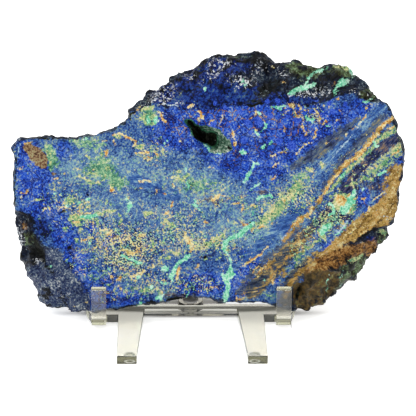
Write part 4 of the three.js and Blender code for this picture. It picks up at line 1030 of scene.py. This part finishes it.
def edge_rings():
    """Directions from the hub, and along each the reaches, points and lumpiness from face to back."""
    outline = to_face(OUTLINE_PX)
    angles = sector_angles(outline, SECTORS)
    edge = reach(outline, angles)
    flat_edge = np.stack([edge * np.cos(angles), 0 * edge, edge * np.sin(angles)], 1)
    edge = roughen(edge, flat_edge, OUTLINE_GRIT)
    face = roughen(reach(to_face(FACE_EDGE_PX), angles), flat_edge, FACE_EDGE_GRIT)
    face = np.minimum(face, edge - LEAST_RIM_MM)
    rim = edge - face
    rim_depth = THICKNESS_MM * (RIM_DEPTH + WIDE_RIM_DEPTH * np.minimum(rim / WIDE_RIM_MM, 1))
    back = edge - BACK_SETBACK_MM - BACK_SETBACK_SHARE * rim
    radii, depths, lumpy = [face], [0 * edge], [0 * edge]
    for k in range(1, RIM_STEPS + 1):
        share = k / RIM_STEPS
        turn = share * math.pi / 2
        radii.append(face + rim * math.sin(turn))
        depths.append(rim_depth * (0.5 * share + 0.5 * (1 - math.cos(turn))))
        swell = math.sin(share * math.pi / LUMP_SPREAD) * np.minimum(rim / FULL_LUMPS_MM, 1)
        lumpy.append(swell + OUTER_LUMPS * share)
    for k in range(1, SIDE_STEPS + 1):
        share = k / SIDE_STEPS
        turn = share * math.pi / 2
        radii.append(back + (edge - back) * math.cos(turn))
        depths.append(rim_depth + (THICKNESS_MM - rim_depth) * math.sin(turn))
        lumpy.append(SIDE_LUMPS * math.sin(share * math.pi) + 0 * edge)
    radii, depths, lumpy = (np.array(rows).T for rows in (radii, depths, lumpy))
    along, up = np.cos(angles)[:, None], np.sin(angles)[:, None]
    push = lumpy * LUMP_MM * lumps(HUB[0] + radii * along, HUB[1] + radii * up, depths)
    far = radii + push
    rings = np.stack([HUB[0] + far * along, depths - LUMP_FORWARD * push, HUB[1] + far * up], -1)
    return angles, radii, rings, lumpy


def ring_normals(rings):
    """Inward directions of the rings of points."""
    around = np.roll(rings, -1, 0) - np.roll(rings, 1, 0)
    along = np.gradient(rings, axis=1)
    normal = np.cross(along, around)
    return normal / np.maximum(np.linalg.norm(normal, axis=-1, keepdims=True), TINY)


def add_crags(rings, lumpy, crag_mm):
    """The rings with small crags where they are lumpy, and how far below the crests each point lies."""
    below = sum(
        weight * (CRAG_STEEPNESS * np.abs(grit(rings.reshape(-1, 3), size, seed)) - 1)
        for weight, size, seed in CRAG_GRIT
    ).reshape(lumpy.shape)
    broken = np.clip(np.abs(lumpy) * CRAG_GAIN, 0, 1)
    sink = broken * crag_mm * (below - CRAG_LEVEL)
    return rings + ring_normals(rings) * sink[..., None], below * broken


def stone_faces(points, steps, front, back):
    """Faces between the rings, and over the front and back with the even points inside each."""
    here = np.arange(SECTORS)[:, None] * steps + np.arange(steps - 1)
    after = np.roll(here, -1, 0)
    faces = np.stack([here, after, after + 1, here + 1], -1).reshape(-1, 4).tolist()
    first = SECTORS * steps
    for loop, inner, way in ((here[:, 0], front, 1), (here[:, -1] + 1, back, -1)):
        corners = np.concatenate([loop, first + np.arange(len(inner))])
        faces += corners[fill(points[loop][:, [0, 2]], inner)][:, ::way].tolist()
        first += len(inner)
    return faces


def stone_fields(points, angles, face_edge, crag, side, behind):
    """What each point of the stone carries for its material: zones, marks, bedding, rim and crags."""
    x, y = to_pixels(points[:, 0], points[:, 2])
    along, across = bedding(x, y)
    fields = painted_fields(
        roughen(x, points, WANDER_ACROSS_PX), roughen(y, points, WANDER_DOWN_PX))
    for name in MARKS:
        fields[name] = np.where(behind, OFF_MARK, fields[name])
    u, v = points[:, 0] - HUB[0], points[:, 2] - HUB[1]
    beyond = np.hypot(u, v) - ring_reach(u, v, angles, face_edge)
    rim = np.where(points[:, 1] > THICKNESS_MM - BACK_SKIN_MM, -1, np.clip(beyond / RIM_FADE_MM, -1, 1))
    fields["rim"] = np.where(side, 1, rim)
    fields["crag"] = np.pad(crag.ravel(), (0, len(points) - crag.size))
    fields["bedding_mm"] = np.stack([along, points[:, 1], across], -1)
    return fields


def carve_stone(crag_mm):
    """Points, faces and fields of the stone, with its vug, knobs and the crags of its rim."""
    angles, radii, rings, lumpy = edge_rings()
    steps = rings.shape[1]
    rings, crag = add_crags(rings, lumpy, crag_mm)
    front = inside_points(angles, radii[:, 0], FACE_STEP_MM)
    back = inside_points(angles, radii[:, -1], BACK_STEP_MM)
    points = np.vstack([
        rings.reshape(-1, 3),
        np.stack([front[:, 0], 0 * front[:, 0], front[:, 1]], 1),
        np.stack([back[:, 0], 0 * back[:, 0] + THICKNESS_MM, back[:, 1]], 1),
    ])
    faces = stone_faces(points, steps, front, back)
    # The slab's side is the rings past the rim; the back face's even points come last
    side = np.zeros(len(points), bool)
    side[:SECTORS * steps] = np.tile(np.arange(steps) > RIM_STEPS, SECTORS)
    behind = side | (np.arange(len(points)) >= len(points) - len(back))
    fields = stone_fields(points, angles, radii[:, 0], crag, side, behind)
    height = relief(points[:, 0], points[:, 2])
    grit_height, size, seed = HOLLOW_GRIT
    height += np.clip(-height / HOLLOW_FULL_MM, 0, 1) * grit_height * grit(points, size, seed)
    height -= CRACK_MM * np.clip(fields["dark"] + CRACK_MARGIN_PX, 0, 1)
    points[:, 1] -= np.where(behind, 0, height)
    points[:, 2] = np.maximum(points[:, 2], lowest(points[:, 0], np.maximum(points[:, 1], 0)))
    return points, faces, fields


def grain_values(tree):
    """Everything that the stone's layers read, by name: noises, painted fields, cells and worm tracks."""
    rock = add_node(tree, "ShaderNodeAttribute", attribute_name="rock_mm").outputs["Vector"]
    beds = add_node(tree, "ShaderNodeAttribute", attribute_name="bedding_mm").outputs["Vector"]
    # The grain's axes are turned, so that no row of its cells lies along the flat face
    axes = {
        "rock": add_node(tree, "ShaderNodeMapping", {
            "Vector": rock, "Rotation": (0.7, 0.5, 0.3)}).outputs[0],
        "rock_b": add_node(tree, "ShaderNodeMapping", {
            "Vector": rock, "Rotation": (0.4, 1.1, 0.8), "Location": (31, 17, 53)}).outputs[0],
        "bedding": add_node(tree, "ShaderNodeMapping", {
            "Vector": beds, "Rotation": (0.6, 0.5, 0), "Scale": (1 / STREAK_STRETCH, 1, 1)}).outputs[0],
    }
    values = {
        name: add_node(tree, "ShaderNodeTexNoise", {
            "Vector": axes[along], "Scale": 1 / size, "Detail": detail, "Roughness": rough}).outputs["Fac"]
        for name, (along, size, detail, rough) in GRAINS.items()
    }
    for name in (*ZONES, *MARKS, "rim", "crag"):
        values[name] = add_node(tree, "ShaderNodeAttribute", attribute_name=name).outputs["Fac"]
    # Round cells, the azurite's nodules
    cells = add_node(tree, "ShaderNodeTexVoronoi", {
        "Vector": rock, "Scale": 1 / NODULE_MM, "Randomness": 0.8}, feature="DISTANCE_TO_EDGE")
    values["cell_edge"] = cells.outputs["Distance"]
    # Small crystal faces on the broken rim: their cells pick where glints are painted, and give the rim its
    # bump
    facets = add_node(tree, "ShaderNodeTexVoronoi", {"Vector": rock, "Scale": FACETS_PER_MM})
    values["facet"] = add_node(tree, "ShaderNodeSeparateColor", {0: facets.outputs["Color"]}).outputs[0]
    # Worm tracks: the lines where a noise crosses its middle, 1 on the line and 0 at its sides
    off = add_node(tree, "ShaderNodeMath", {
        0: values["worm_path"], 1: 0.5}, operation="SUBTRACT").outputs[0]
    away = add_node(tree, "ShaderNodeMath", {0: off}, operation="ABSOLUTE").outputs[0]
    values["worm"] = add_node(tree, "ShaderNodeMapRange", {
        "Value": away, "From Min": WORM_HALF_WIDTH, "From Max": 0.0}).outputs["Result"]
    return values


def where(tree, values, places):
    """The share of a layer: the product of its places, each a field and a grain between two marks."""
    share = 1.0
    for field, gain, grain, amount, low, high in places:
        scaled = add_node(tree, "ShaderNodeMath", {
            0: values[field], 1: gain}, operation="MULTIPLY").outputs[0]
        grained = add_node(tree, "ShaderNodeMath", {
            0: values[grain], 1: amount, 2: scaled}, operation="MULTIPLY_ADD").outputs[0]
        step = add_node(tree, "ShaderNodeMapRange", {
            "Value": grained, "From Min": low, "From Max": high},
            interpolation_type="SMOOTHSTEP").outputs["Result"]
        share = add_node(tree, "ShaderNodeMath", {0: step, 1: share}, operation="MULTIPLY").outputs[0]
    return share


def mineral_colour(tree, values, reflectance):
    """The minerals, and the painted glints and shade, laid one over the other, each a ramp of colours over
    its grain.
    """
    colour = None
    for title, grain, stops, places in LAYERS:
        shifted = add_node(tree, "ShaderNodeMath", {
            0: values["broad"], 1: BROAD_SHIFT, 2: values[grain]}, operation="MULTIPLY_ADD").outputs[0]
        shade = add_node(tree, "ShaderNodeMath", {
            0: shifted, 1: BROAD_SHIFT / 2}, operation="SUBTRACT").outputs[0]
        paint = add_node(tree, "ShaderNodeValToRGB", {"Fac": shade}, label=title)
        elements = paint.color_ramp.elements
        while len(elements) < len(stops):
            elements.new(0.5)
        for element, (place, hex_colour) in zip(elements, stops):
            element.position = place
            element.color = (*linear(hex_colour, reflectance), 1)
        share = where(tree, values, places)
        colour = paint.outputs["Color"] if colour is None else add_node(tree, "ShaderNodeMix", {
            0: share, 6: colour, 7: paint.outputs["Color"]}, data_type="RGBA").outputs[2]
    return colour


def stone_material(settings):
    """Azurite and malachite grown together, the face sawn and left unpolished, the rim broken.

    Sawing leaves fine tooth marks that scatter the light, so the face has colour but no mirror shine;
    the broken rim shows small crystal faces, with glints painted on them as pale colour, and painted
    shade in its crevices.
    """
    material, tree, output = new_material("sawn_azurite_malachite")
    values = grain_values(tree)
    colour = mineral_colour(tree, values, settings.reflectance)
    on_rim = where(tree, values, [RIM])
    roughness = add_node(tree, "ShaderNodeMapRange", {
        "Value": on_rim, "To Min": settings.face_roughness,
        "To Max": settings.rim_roughness}).outputs["Result"]
    height = add_node(tree, "ShaderNodeMix", {
        0: on_rim, 2: values["fine"], 3: values["facet"]}, data_type="FLOAT").outputs[0]
    bump = add_node(tree, "ShaderNodeBump", {
        "Height": height, "Strength": GRAIN_STRENGTH, "Distance": GRAIN_MM * MM})
    shader = add_node(tree, "ShaderNodeBsdfPrincipled", {
        "Base Color": colour, "Roughness": roughness, "Normal": bump.outputs[0],
        "Specular IOR Level": 0.06, "IOR": 1.6})
    tree.links.new(shader.outputs[0], output.inputs["Surface"])
    return material


def slab_place():
    """Where the slab's own frame sits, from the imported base."""
    low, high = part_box("stand_base")
    x = (low[0] + high[0]) / 2 + (FACE_PX[0] - STAND_PX_X) / PX_PER_MM * MM
    y = low[1] + (LEG_FRONT_MM + SLAB_FOOT_MM[0]) * MM
    return Matrix.Translation((x, y, low[2] + SLAB_FOOT_MM[1] * MM)) @ Matrix.Rotation(-LEAN, 4, "X")


def build_slab(settings):
    """The stone: one closed mesh with its fields as attributes."""
    points, faces, fields = carve_stone(settings.crag_height / MM)
    place = np.array(slab_place())
    world = points * MM @ place[:3, :3].T + place[:3, 3]
    slab = mesh_object("azurite_slab", world.tolist(), faces, stone_material(settings))
    attributes = slab.data.attributes
    for name, vectors in (("rock_mm", points), ("bedding_mm", fields.pop("bedding_mm"))):
        attributes.new(name, "FLOAT_VECTOR", "POINT").data.foreach_set("vector", vectors.ravel())
    for name, values in fields.items():
        attributes.new(name, "FLOAT", "POINT").data.foreach_set("value", values)
    slab.data.shade_smooth()
    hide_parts("slab")


def acrylic_material(settings):
    """Clear cast acrylic sheet, sawn and flame polished: see-through faces, bright rounded edges."""
    material, tree, output = new_material("clear_cast_acrylic")
    # Fine handling marks that soften the reflections here and there
    place = add_node(tree, "ShaderNodeTexCoord").outputs["Object"]
    marks = add_node(tree, "ShaderNodeTexNoise", {
        "Vector": place, "Scale": 1 / (HANDLING_MM * MM), "Detail": 3})
    haze = add_node(tree, "ShaderNodeMapRange", {
        "Value": marks.outputs["Fac"], "From Min": 0.45, "From Max": 0.75,
        "To Min": settings.acrylic_roughness, "To Max": settings.acrylic_roughness + HANDLING_ROUGHNESS})
    shader = add_node(tree, "ShaderNodeBsdfPrincipled", {
        "Base Color": (*settings.acrylic_colour, 1), "Roughness": haze.outputs["Result"],
        "IOR": ACRYLIC_IOR, "Transmission Weight": 1.0})
    tint = add_node(tree, "ShaderNodeVolumeAbsorption", {
        "Color": (*settings.acrylic_tint, 1), "Density": settings.acrylic_density})
    tree.links.new(shader.outputs[0], output.inputs["Surface"])
    tree.links.new(tint.outputs[0], output.inputs["Volume"])
    return material


def polished_piece(name, node, material, edge):
    """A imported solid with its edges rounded, as a piece that stands for it."""
    shape = bmesh.new()
    shape.from_mesh(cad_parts[node].data)
    bmesh.ops.remove_doubles(shape, verts=shape.verts, dist=WELD)
    bmesh.ops.dissolve_limit(shape, angle_limit=EVEN_WITHIN, verts=shape.verts, edges=shape.edges)
    sharp = [e for e in shape.edges if e.is_manifold and e.calc_face_angle(0) > SHARP_FROM]
    bmesh.ops.bevel(shape, geom=sharp, offset=edge, segments=EDGE_FACETS, profile=0.5, affect="EDGES")
    bmesh.ops.triangulate(shape, faces=[f for f in shape.faces if len(f.verts) > 4])
    mesh = bpy.data.meshes.new(name)
    shape.to_mesh(mesh)
    shape.free()
    mesh.materials.clear()
    mesh.materials.append(material)
    piece = bpy.data.objects.new(name, mesh)
    bpy.context.scene.collection.objects.link(piece)
    mesh.shade_smooth()
    even = piece.modifiers.new("flat faces stay flat", "WEIGHTED_NORMAL")
    even.weight = 100
    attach(piece, ROOT)
    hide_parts(node)
    return piece


def sawn_end(piece, settings):
    """Gives the back rest's front end, which the slab hides, the frosted face that a saw leaves."""
    material, tree, output = new_material("sawn_acrylic_end")
    shader = add_node(tree, "ShaderNodeBsdfPrincipled", {
        "Base Color": (*settings.acrylic_colour, 1), "Roughness": 0.8,
        "IOR": ACRYLIC_IOR, "Transmission Weight": 0.5})
    tree.links.new(shader.outputs[0], output.inputs["Surface"])
    mesh = piece.data
    mesh.materials.append(material)
    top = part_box("stand_base")[0][2] + (SHEET_MM + GAP_MM) * MM
    for face in mesh.polygons:
        if face.normal.y < FORWARD and face.center.z < top:
            face.material_index = 1


def packed_round(node):
    """Middle, radius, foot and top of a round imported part."""
    low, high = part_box(node)
    centre = ((low[0] + high[0]) / 2, (low[1] + high[1]) / 2)
    return centre, (high[0] - low[0]) / 2, low[2], high[2]


def turned(profile, centre, sides=48):
    """Points and faces of a profile of radius and height in metres, turned about an upright axis."""
    verts = []
    for k in range(sides):
        turn = 2 * math.pi * k / sides
        verts += [(centre[0] + r * math.cos(turn), centre[1] + r * math.sin(turn), z) for r, z in profile]
    rows = len(profile)
    faces = []
    for k in range(sides):
        here, after = k * rows, (k + 1) % sides * rows
        faces += [[here + i, after + i, after + i + 1, here + i + 1] for i in range(rows - 1)]
    faces.append([k * rows for k in reversed(range(sides))])
    faces.append([k * rows + rows - 1 for k in range(sides)])
    return verts, faces


def screw_material(settings):
    """Plastic as the mould leaves it, milky and matt: light goes through it but no clear picture does."""
    material, tree, output = new_material("moulded_milky_plastic")
    shader = add_node(tree, "ShaderNodeBsdfPrincipled", {
        "Base Color": (*settings.acrylic_colour, 1), "Roughness": settings.screw_roughness,
        "IOR": ACRYLIC_IOR, "Transmission Weight": 0.4})
    tree.links.new(shader.outputs[0], output.inputs["Surface"])
    return material


def build_screw(plastic):
    """Pan head over a threaded shank, moulded in plastic."""
    centre, head, foot, top = packed_round("screw")
    seat = top - HEAD_MM * MM
    core, crest, pitch = CORE_MM * MM, CREST_MM * MM, PITCH_MM * MM
    profile = [(core * TIP_SHARE, foot)]
    z = foot + TIP_MM * MM
    while z < seat - pitch:
        profile += [(core, z), (crest, z + pitch * CREST_FROM), (crest, z + pitch * CREST_TO)]
        profile.append((core, z + pitch * CORE_FROM))
        z += pitch
    profile += [(crest, seat), (head * HEAD_SEAT, seat)]
    profile += [(head, seat + SIDE_FROM_MM * MM), (head, seat + SIDE_TO_MM * MM)]
    for k in range(1, HEAD_FACETS + 1):
        turn = math.pi / 2 * k / HEAD_FACETS
        up = SIDE_TO_MM + (HEAD_MM - SIDE_TO_MM) * math.sin(turn)
        profile.append((head * (1 - HEAD_ROUND + HEAD_ROUND * math.cos(turn)), seat + up * MM))
    verts, faces = turned(profile, centre)
    screw = mesh_object("crossbar_screw", verts, faces, plastic)
    screw.data.set_sharp_from_angle(angle=SCREW_SHARP_FROM)
    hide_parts("screw")


def pvc_material(settings):
    """Clear soft PVC, moulded as a small dome: cloudy, with a dull skin."""
    material, tree, output = new_material("soft_clear_pvc")
    place = add_node(tree, "ShaderNodeTexCoord").outputs["Object"]
    cloud = add_node(tree, "ShaderNodeTexNoise", {
        "Vector": place, "Scale": 1 / (PVC_CLOUD_MM * MM), "Detail": 2})
    rough = add_node(tree, "ShaderNodeMapRange", {
        "Value": cloud.outputs["Fac"], "To Min": 0.25, "To Max": 0.45})
    shader = add_node(tree, "ShaderNodeBsdfPrincipled", {
        "Base Color": (*settings.bumper_colour, 1), "Roughness": rough.outputs["Result"],
        "IOR": 1.53, "Transmission Weight": 0.35})
    tree.links.new(shader.outputs[0], output.inputs["Surface"])
    return material


def build_bumper(side, material):
    """One soft bumper under a leg's front end."""
    centre, radius, foot, top = packed_round("bumper_" + side)
    profile = [(radius * out, foot + (top - foot) * up) for out, up in BUMPER_PROFILE]
    # Its glued ring presses into the leg, and so shows through it as a pale ring
    glued = top + (GAP_MM + GLUE_MM) * MM
    profile += [(radius * out, glued) for out in GLUE_RING]
    profile.append((radius * BUMPER_MIDDLE, top))
    verts, faces = turned(profile, centre, BUMPER_SIDES)
    bumper = mesh_object("soft_bumper_" + side, verts, faces, material)
    bumper.data.set_sharp_from_angle(angle=BUMPER_SHARP_FROM)
    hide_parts("bumper_" + side)


def table_material(settings):
    """Opal acrylic lit from below, matt and white, with the stone's deep shade close behind the crossbar."""
    material, tree, output = new_material("opal_light_table")
    place = add_node(tree, "ShaderNodeTexCoord").outputs["Object"]
    from_shade = add_node(tree, "ShaderNodeVectorMath", {
        0: place, 1: SHADE_AT_MM * MM}, operation="SUBTRACT")
    share = add_node(tree, "ShaderNodeVectorMath", {
        0: from_shade.outputs[0], 1: [1 / (half * MM) for half in SHADE_HALF_MM]}, operation="MULTIPLY")
    away = add_node(tree, "ShaderNodeVectorMath", {0: share.outputs[0]}, operation="LENGTH")
    glow = add_node(tree, "ShaderNodeMapRange", {
        "Value": away.outputs["Value"], "From Min": SHADE_FADE[0], "From Max": SHADE_FADE[1],
        "To Min": settings.shade_glow, "To Max": settings.floor_glow}, interpolation_type="SMOOTHSTEP")
    shader = add_node(tree, "ShaderNodeBsdfPrincipled", {
        "Base Color": (*settings.floor_colour, 1), "Roughness": 0.9, "Specular IOR Level": 0.1,
        "Emission Color": (1, 1, 1, 1), "Emission Strength": glow.outputs["Result"]})
    tree.links.new(shader.outputs[0], output.inputs["Surface"])
    return material


def build_floor(settings):
    """The pale table that the stand is on."""
    mesh = bpy.data.meshes.new("floor")
    corners = [(x * FLOOR_HALF, y * FLOOR_HALF, 0) for x, y in ((-1, -1), (1, -1), (1, 1), (-1, 1))]
    mesh.from_pydata(corners, [], [(0, 1, 2, 3)])
    mesh.materials.append(table_material(settings))
    floor = bpy.data.objects.new("floor", mesh)
    bpy.context.scene.collection.objects.link(floor)


def light_room(settings, aim):
    """Even light from all round, and soft boxes that face the slab."""
    world = bpy.data.worlds.new("soft_room")
    world.use_nodes = True
    background = world.node_tree.nodes["Background"]
    background.inputs["Color"].default_value = (1, 1, 1, 1)
    background.inputs["Strength"].default_value = settings.room_light
    bpy.context.scene.world = world
    for name, (place, size, power) in SOFT_BOXES.items():
        light = bpy.data.lights.new(name, "AREA")
        light.shape = "RECTANGLE"
        light.size, light.size_y = size
        light.energy = power
        lamp = bpy.data.objects.new(name, light)
        lamp.location = place
        lamp.rotation_euler = (aim - Vector(place)).to_track_quat("-Z", "Y").to_euler()
        bpy.context.scene.collection.objects.link(lamp)


def set_camera(settings, aim):
    """A camera where the photograph was taken from."""
    lens = bpy.data.cameras.new("camera")
    lens.lens = lens.sensor_width * settings.distance / settings.picture_width
    lens.clip_start = 0.01
    camera = bpy.data.objects.new("camera", lens)
    level = math.cos(settings.elevation)
    away = Vector((
        math.sin(settings.azimuth) * level, -math.cos(settings.azimuth) * level,
        math.sin(settings.elevation)))
    camera.location = aim + away * settings.distance
    upright = (-away).to_track_quat("-Z", "Y").to_matrix()
    camera.rotation_euler = (upright @ Matrix.Rotation(settings.roll, 3, "Z")).to_euler()
    bpy.context.scene.collection.objects.link(camera)
    bpy.context.scene.camera = camera
    bpy.context.scene.view_settings.view_transform = "Standard"


class SlabSettings(bpy.types.PropertyGroup):
    """Sizes and finish of the stone."""

    crag_height: bpy.props.FloatProperty(
        name="Crag height", description="How far the broken rim's small crags stand out",
        default=0.9 * MM, unit="LENGTH", precision=5)
    reflectance: bpy.props.FloatProperty(
        name="Reflectance", description="Share of the light that the stone's own colours send back",
        default=0.66, subtype="FACTOR", min=0, max=1)
    face_roughness: bpy.props.FloatProperty(
        name="Face roughness", description="Roughness of the sawn face", default=0.55, subtype="FACTOR")
    rim_roughness: bpy.props.FloatProperty(
        name="Rim roughness", description="Roughness of the broken rim", default=0.38, subtype="FACTOR")


class StandSettings(bpy.types.PropertyGroup):
    """Finish of the clear stand and its small parts."""

    polished_edge: bpy.props.FloatProperty(
        name="Polished edge", description="Radius that flame polishing leaves on the sheet's edges",
        default=0.4 * MM, unit="LENGTH", precision=5)
    acrylic_roughness: bpy.props.FloatProperty(
        name="Acrylic roughness", description="Roughness of the clear sheet", default=0.02,
        subtype="FACTOR")
    acrylic_colour: bpy.props.FloatVectorProperty(
        name="Acrylic colour", description="Colour of light through the sheet's skin",
        default=linear("#f5f3f0"), subtype="COLOR", min=0, max=1)
    acrylic_tint: bpy.props.FloatVectorProperty(
        name="Acrylic tint", description="Colour that long ways through the sheet take on",
        default=linear("#c2c29a"), subtype="COLOR", min=0, max=1)
    acrylic_density: bpy.props.FloatProperty(
        name="Acrylic density", description="How soon light takes on the sheet's tint, for each metre",
        default=55.0, min=0)
    screw_roughness: bpy.props.FloatProperty(
        name="Screw roughness", description="Roughness of the moulded screw", default=0.5,
        subtype="FACTOR")
    bumper_colour: bpy.props.FloatVectorProperty(
        name="Bumper colour", description="Colour of the soft bumpers", default=linear("#f6f8f6"),
        subtype="COLOR", min=0, max=1)


class StageSettings(bpy.types.PropertyGroup):
    """Floor, light and camera."""

    floor_colour: bpy.props.FloatVectorProperty(
        name="Floor colour", description="Colour of the pale floor", default=linear("#f4f4f2"),
        subtype="COLOR", min=0, max=1)
    floor_glow: bpy.props.FloatProperty(
        name="Floor glow", description="Light that comes up through the opal table top", default=0.65)
    shade_glow: bpy.props.FloatProperty(
        name="Glow in the shade", description="Light that comes up where the stone's shade is deepest",
        default=0.05)
    room_light: bpy.props.FloatProperty(
        name="Room light", description="Strength of the even light from all round", default=0.75)
    elevation: bpy.props.FloatProperty(
        name="Camera elevation", description="How far the camera looks down",
        default=math.radians(25.5), subtype="ANGLE")
    azimuth: bpy.props.FloatProperty(
        name="Camera azimuth", description="How far the camera stands to the right",
        default=math.radians(-1.46), subtype="ANGLE")
    roll: bpy.props.FloatProperty(
        name="Camera roll", description="How far the camera is tipped to the left",
        default=math.radians(0.6), subtype="ANGLE")
    distance: bpy.props.FloatProperty(
        name="Camera distance", description="From the camera to the slab's middle",
        default=1.4, unit="LENGTH")
    picture_width: bpy.props.FloatProperty(
        name="Picture width", description="What the picture spans at the slab's middle",
        default=206.74 * MM, unit="LENGTH", precision=5)


class SLAB_OT_stone(bpy.types.Operator):
    """Build the stone with its sawn face, veins and broken rim"""

    bl_idname = "slab.stone"
    bl_label = "Build stone"

    def execute(self, context):
        build_slab(context.scene.slab_settings)
        return {"FINISHED"}


class SLAB_OT_stand(bpy.types.Operator):
    """Build the clear base and back rest with polished edges"""

    bl_idname = "slab.stand"
    bl_label = "Build clear stand"

    def execute(self, context):
        settings = context.scene.stand_settings
        clear = acrylic_material(settings)
        polished_piece("clear_base", "stand_base", clear, settings.polished_edge)
        rest = polished_piece("clear_back_rest", "back_rest", clear, settings.polished_edge)
        sawn_end(rest, settings)
        return {"FINISHED"}


class SLAB_OT_screw(bpy.types.Operator):
    """Build the plastic screw in the middle of the crossbar"""

    bl_idname = "slab.screw"
    bl_label = "Build screw"

    def execute(self, context):
        build_screw(screw_material(context.scene.stand_settings))
        return {"FINISHED"}


class SLAB_OT_bumpers(bpy.types.Operator):
    """Build the two soft bumpers under the front legs"""

    bl_idname = "slab.bumpers"
    bl_label = "Build bumpers"

    def execute(self, context):
        soft = pvc_material(context.scene.stand_settings)
        for side in ("left", "right"):
            build_bumper(side, soft)
        return {"FINISHED"}


class SLAB_OT_stage(bpy.types.Operator):
    """Set the pale floor, the soft light and the camera"""

    bl_idname = "slab.stage"
    bl_label = "Set stage"

    def execute(self, context):
        settings = context.scene.stage_settings
        aim = Vector(AIM_MM) * MM
        build_floor(settings)
        light_room(settings, aim)
        set_camera(settings, aim)
        return {"FINISHED"}


class SLAB_PT_panel(bpy.types.Panel):
    """Sidebar panel for the slab"""

    bl_label = "Azurite malachite slab"
    bl_space_type = "VIEW_3D"
    bl_region_type = "UI"
    bl_category = "Slab"

    def draw(self, context):
        for group, kind in GROUPS.items():
            for name in kind.__annotations__:
                self.layout.prop(getattr(context.scene, group), name)
        for step in STEPS:
            self.layout.operator(step.bl_idname)


GROUPS = {"slab_settings": SlabSettings, "stand_settings": StandSettings, "stage_settings": StageSettings}
STEPS = (SLAB_OT_stone, SLAB_OT_stand, SLAB_OT_screw, SLAB_OT_bumpers, SLAB_OT_stage)
CLASSES = (*GROUPS.values(), *STEPS, SLAB_PT_panel)


def register():
    """Adds the classes, and each group of settings to the scene."""
    for kind in CLASSES:
        bpy.utils.register_class(kind)
    for name, kind in GROUPS.items():
        setattr(bpy.types.Scene, name, bpy.props.PointerProperty(type=kind))


def unregister():
    """Takes the settings and the classes away again."""
    for name in GROUPS:
        delattr(bpy.types.Scene, name)
    for kind in reversed(CLASSES):
        bpy.utils.unregister_class(kind)


def main():
    """Builds the slab, its stand and the stage."""
    register()
    bpy.ops.slab.stone()
    bpy.ops.slab.stand()
    bpy.ops.slab.screw()
    bpy.ops.slab.bumpers()
    bpy.ops.slab.stage()


if __name__ == "__main__":
    main()
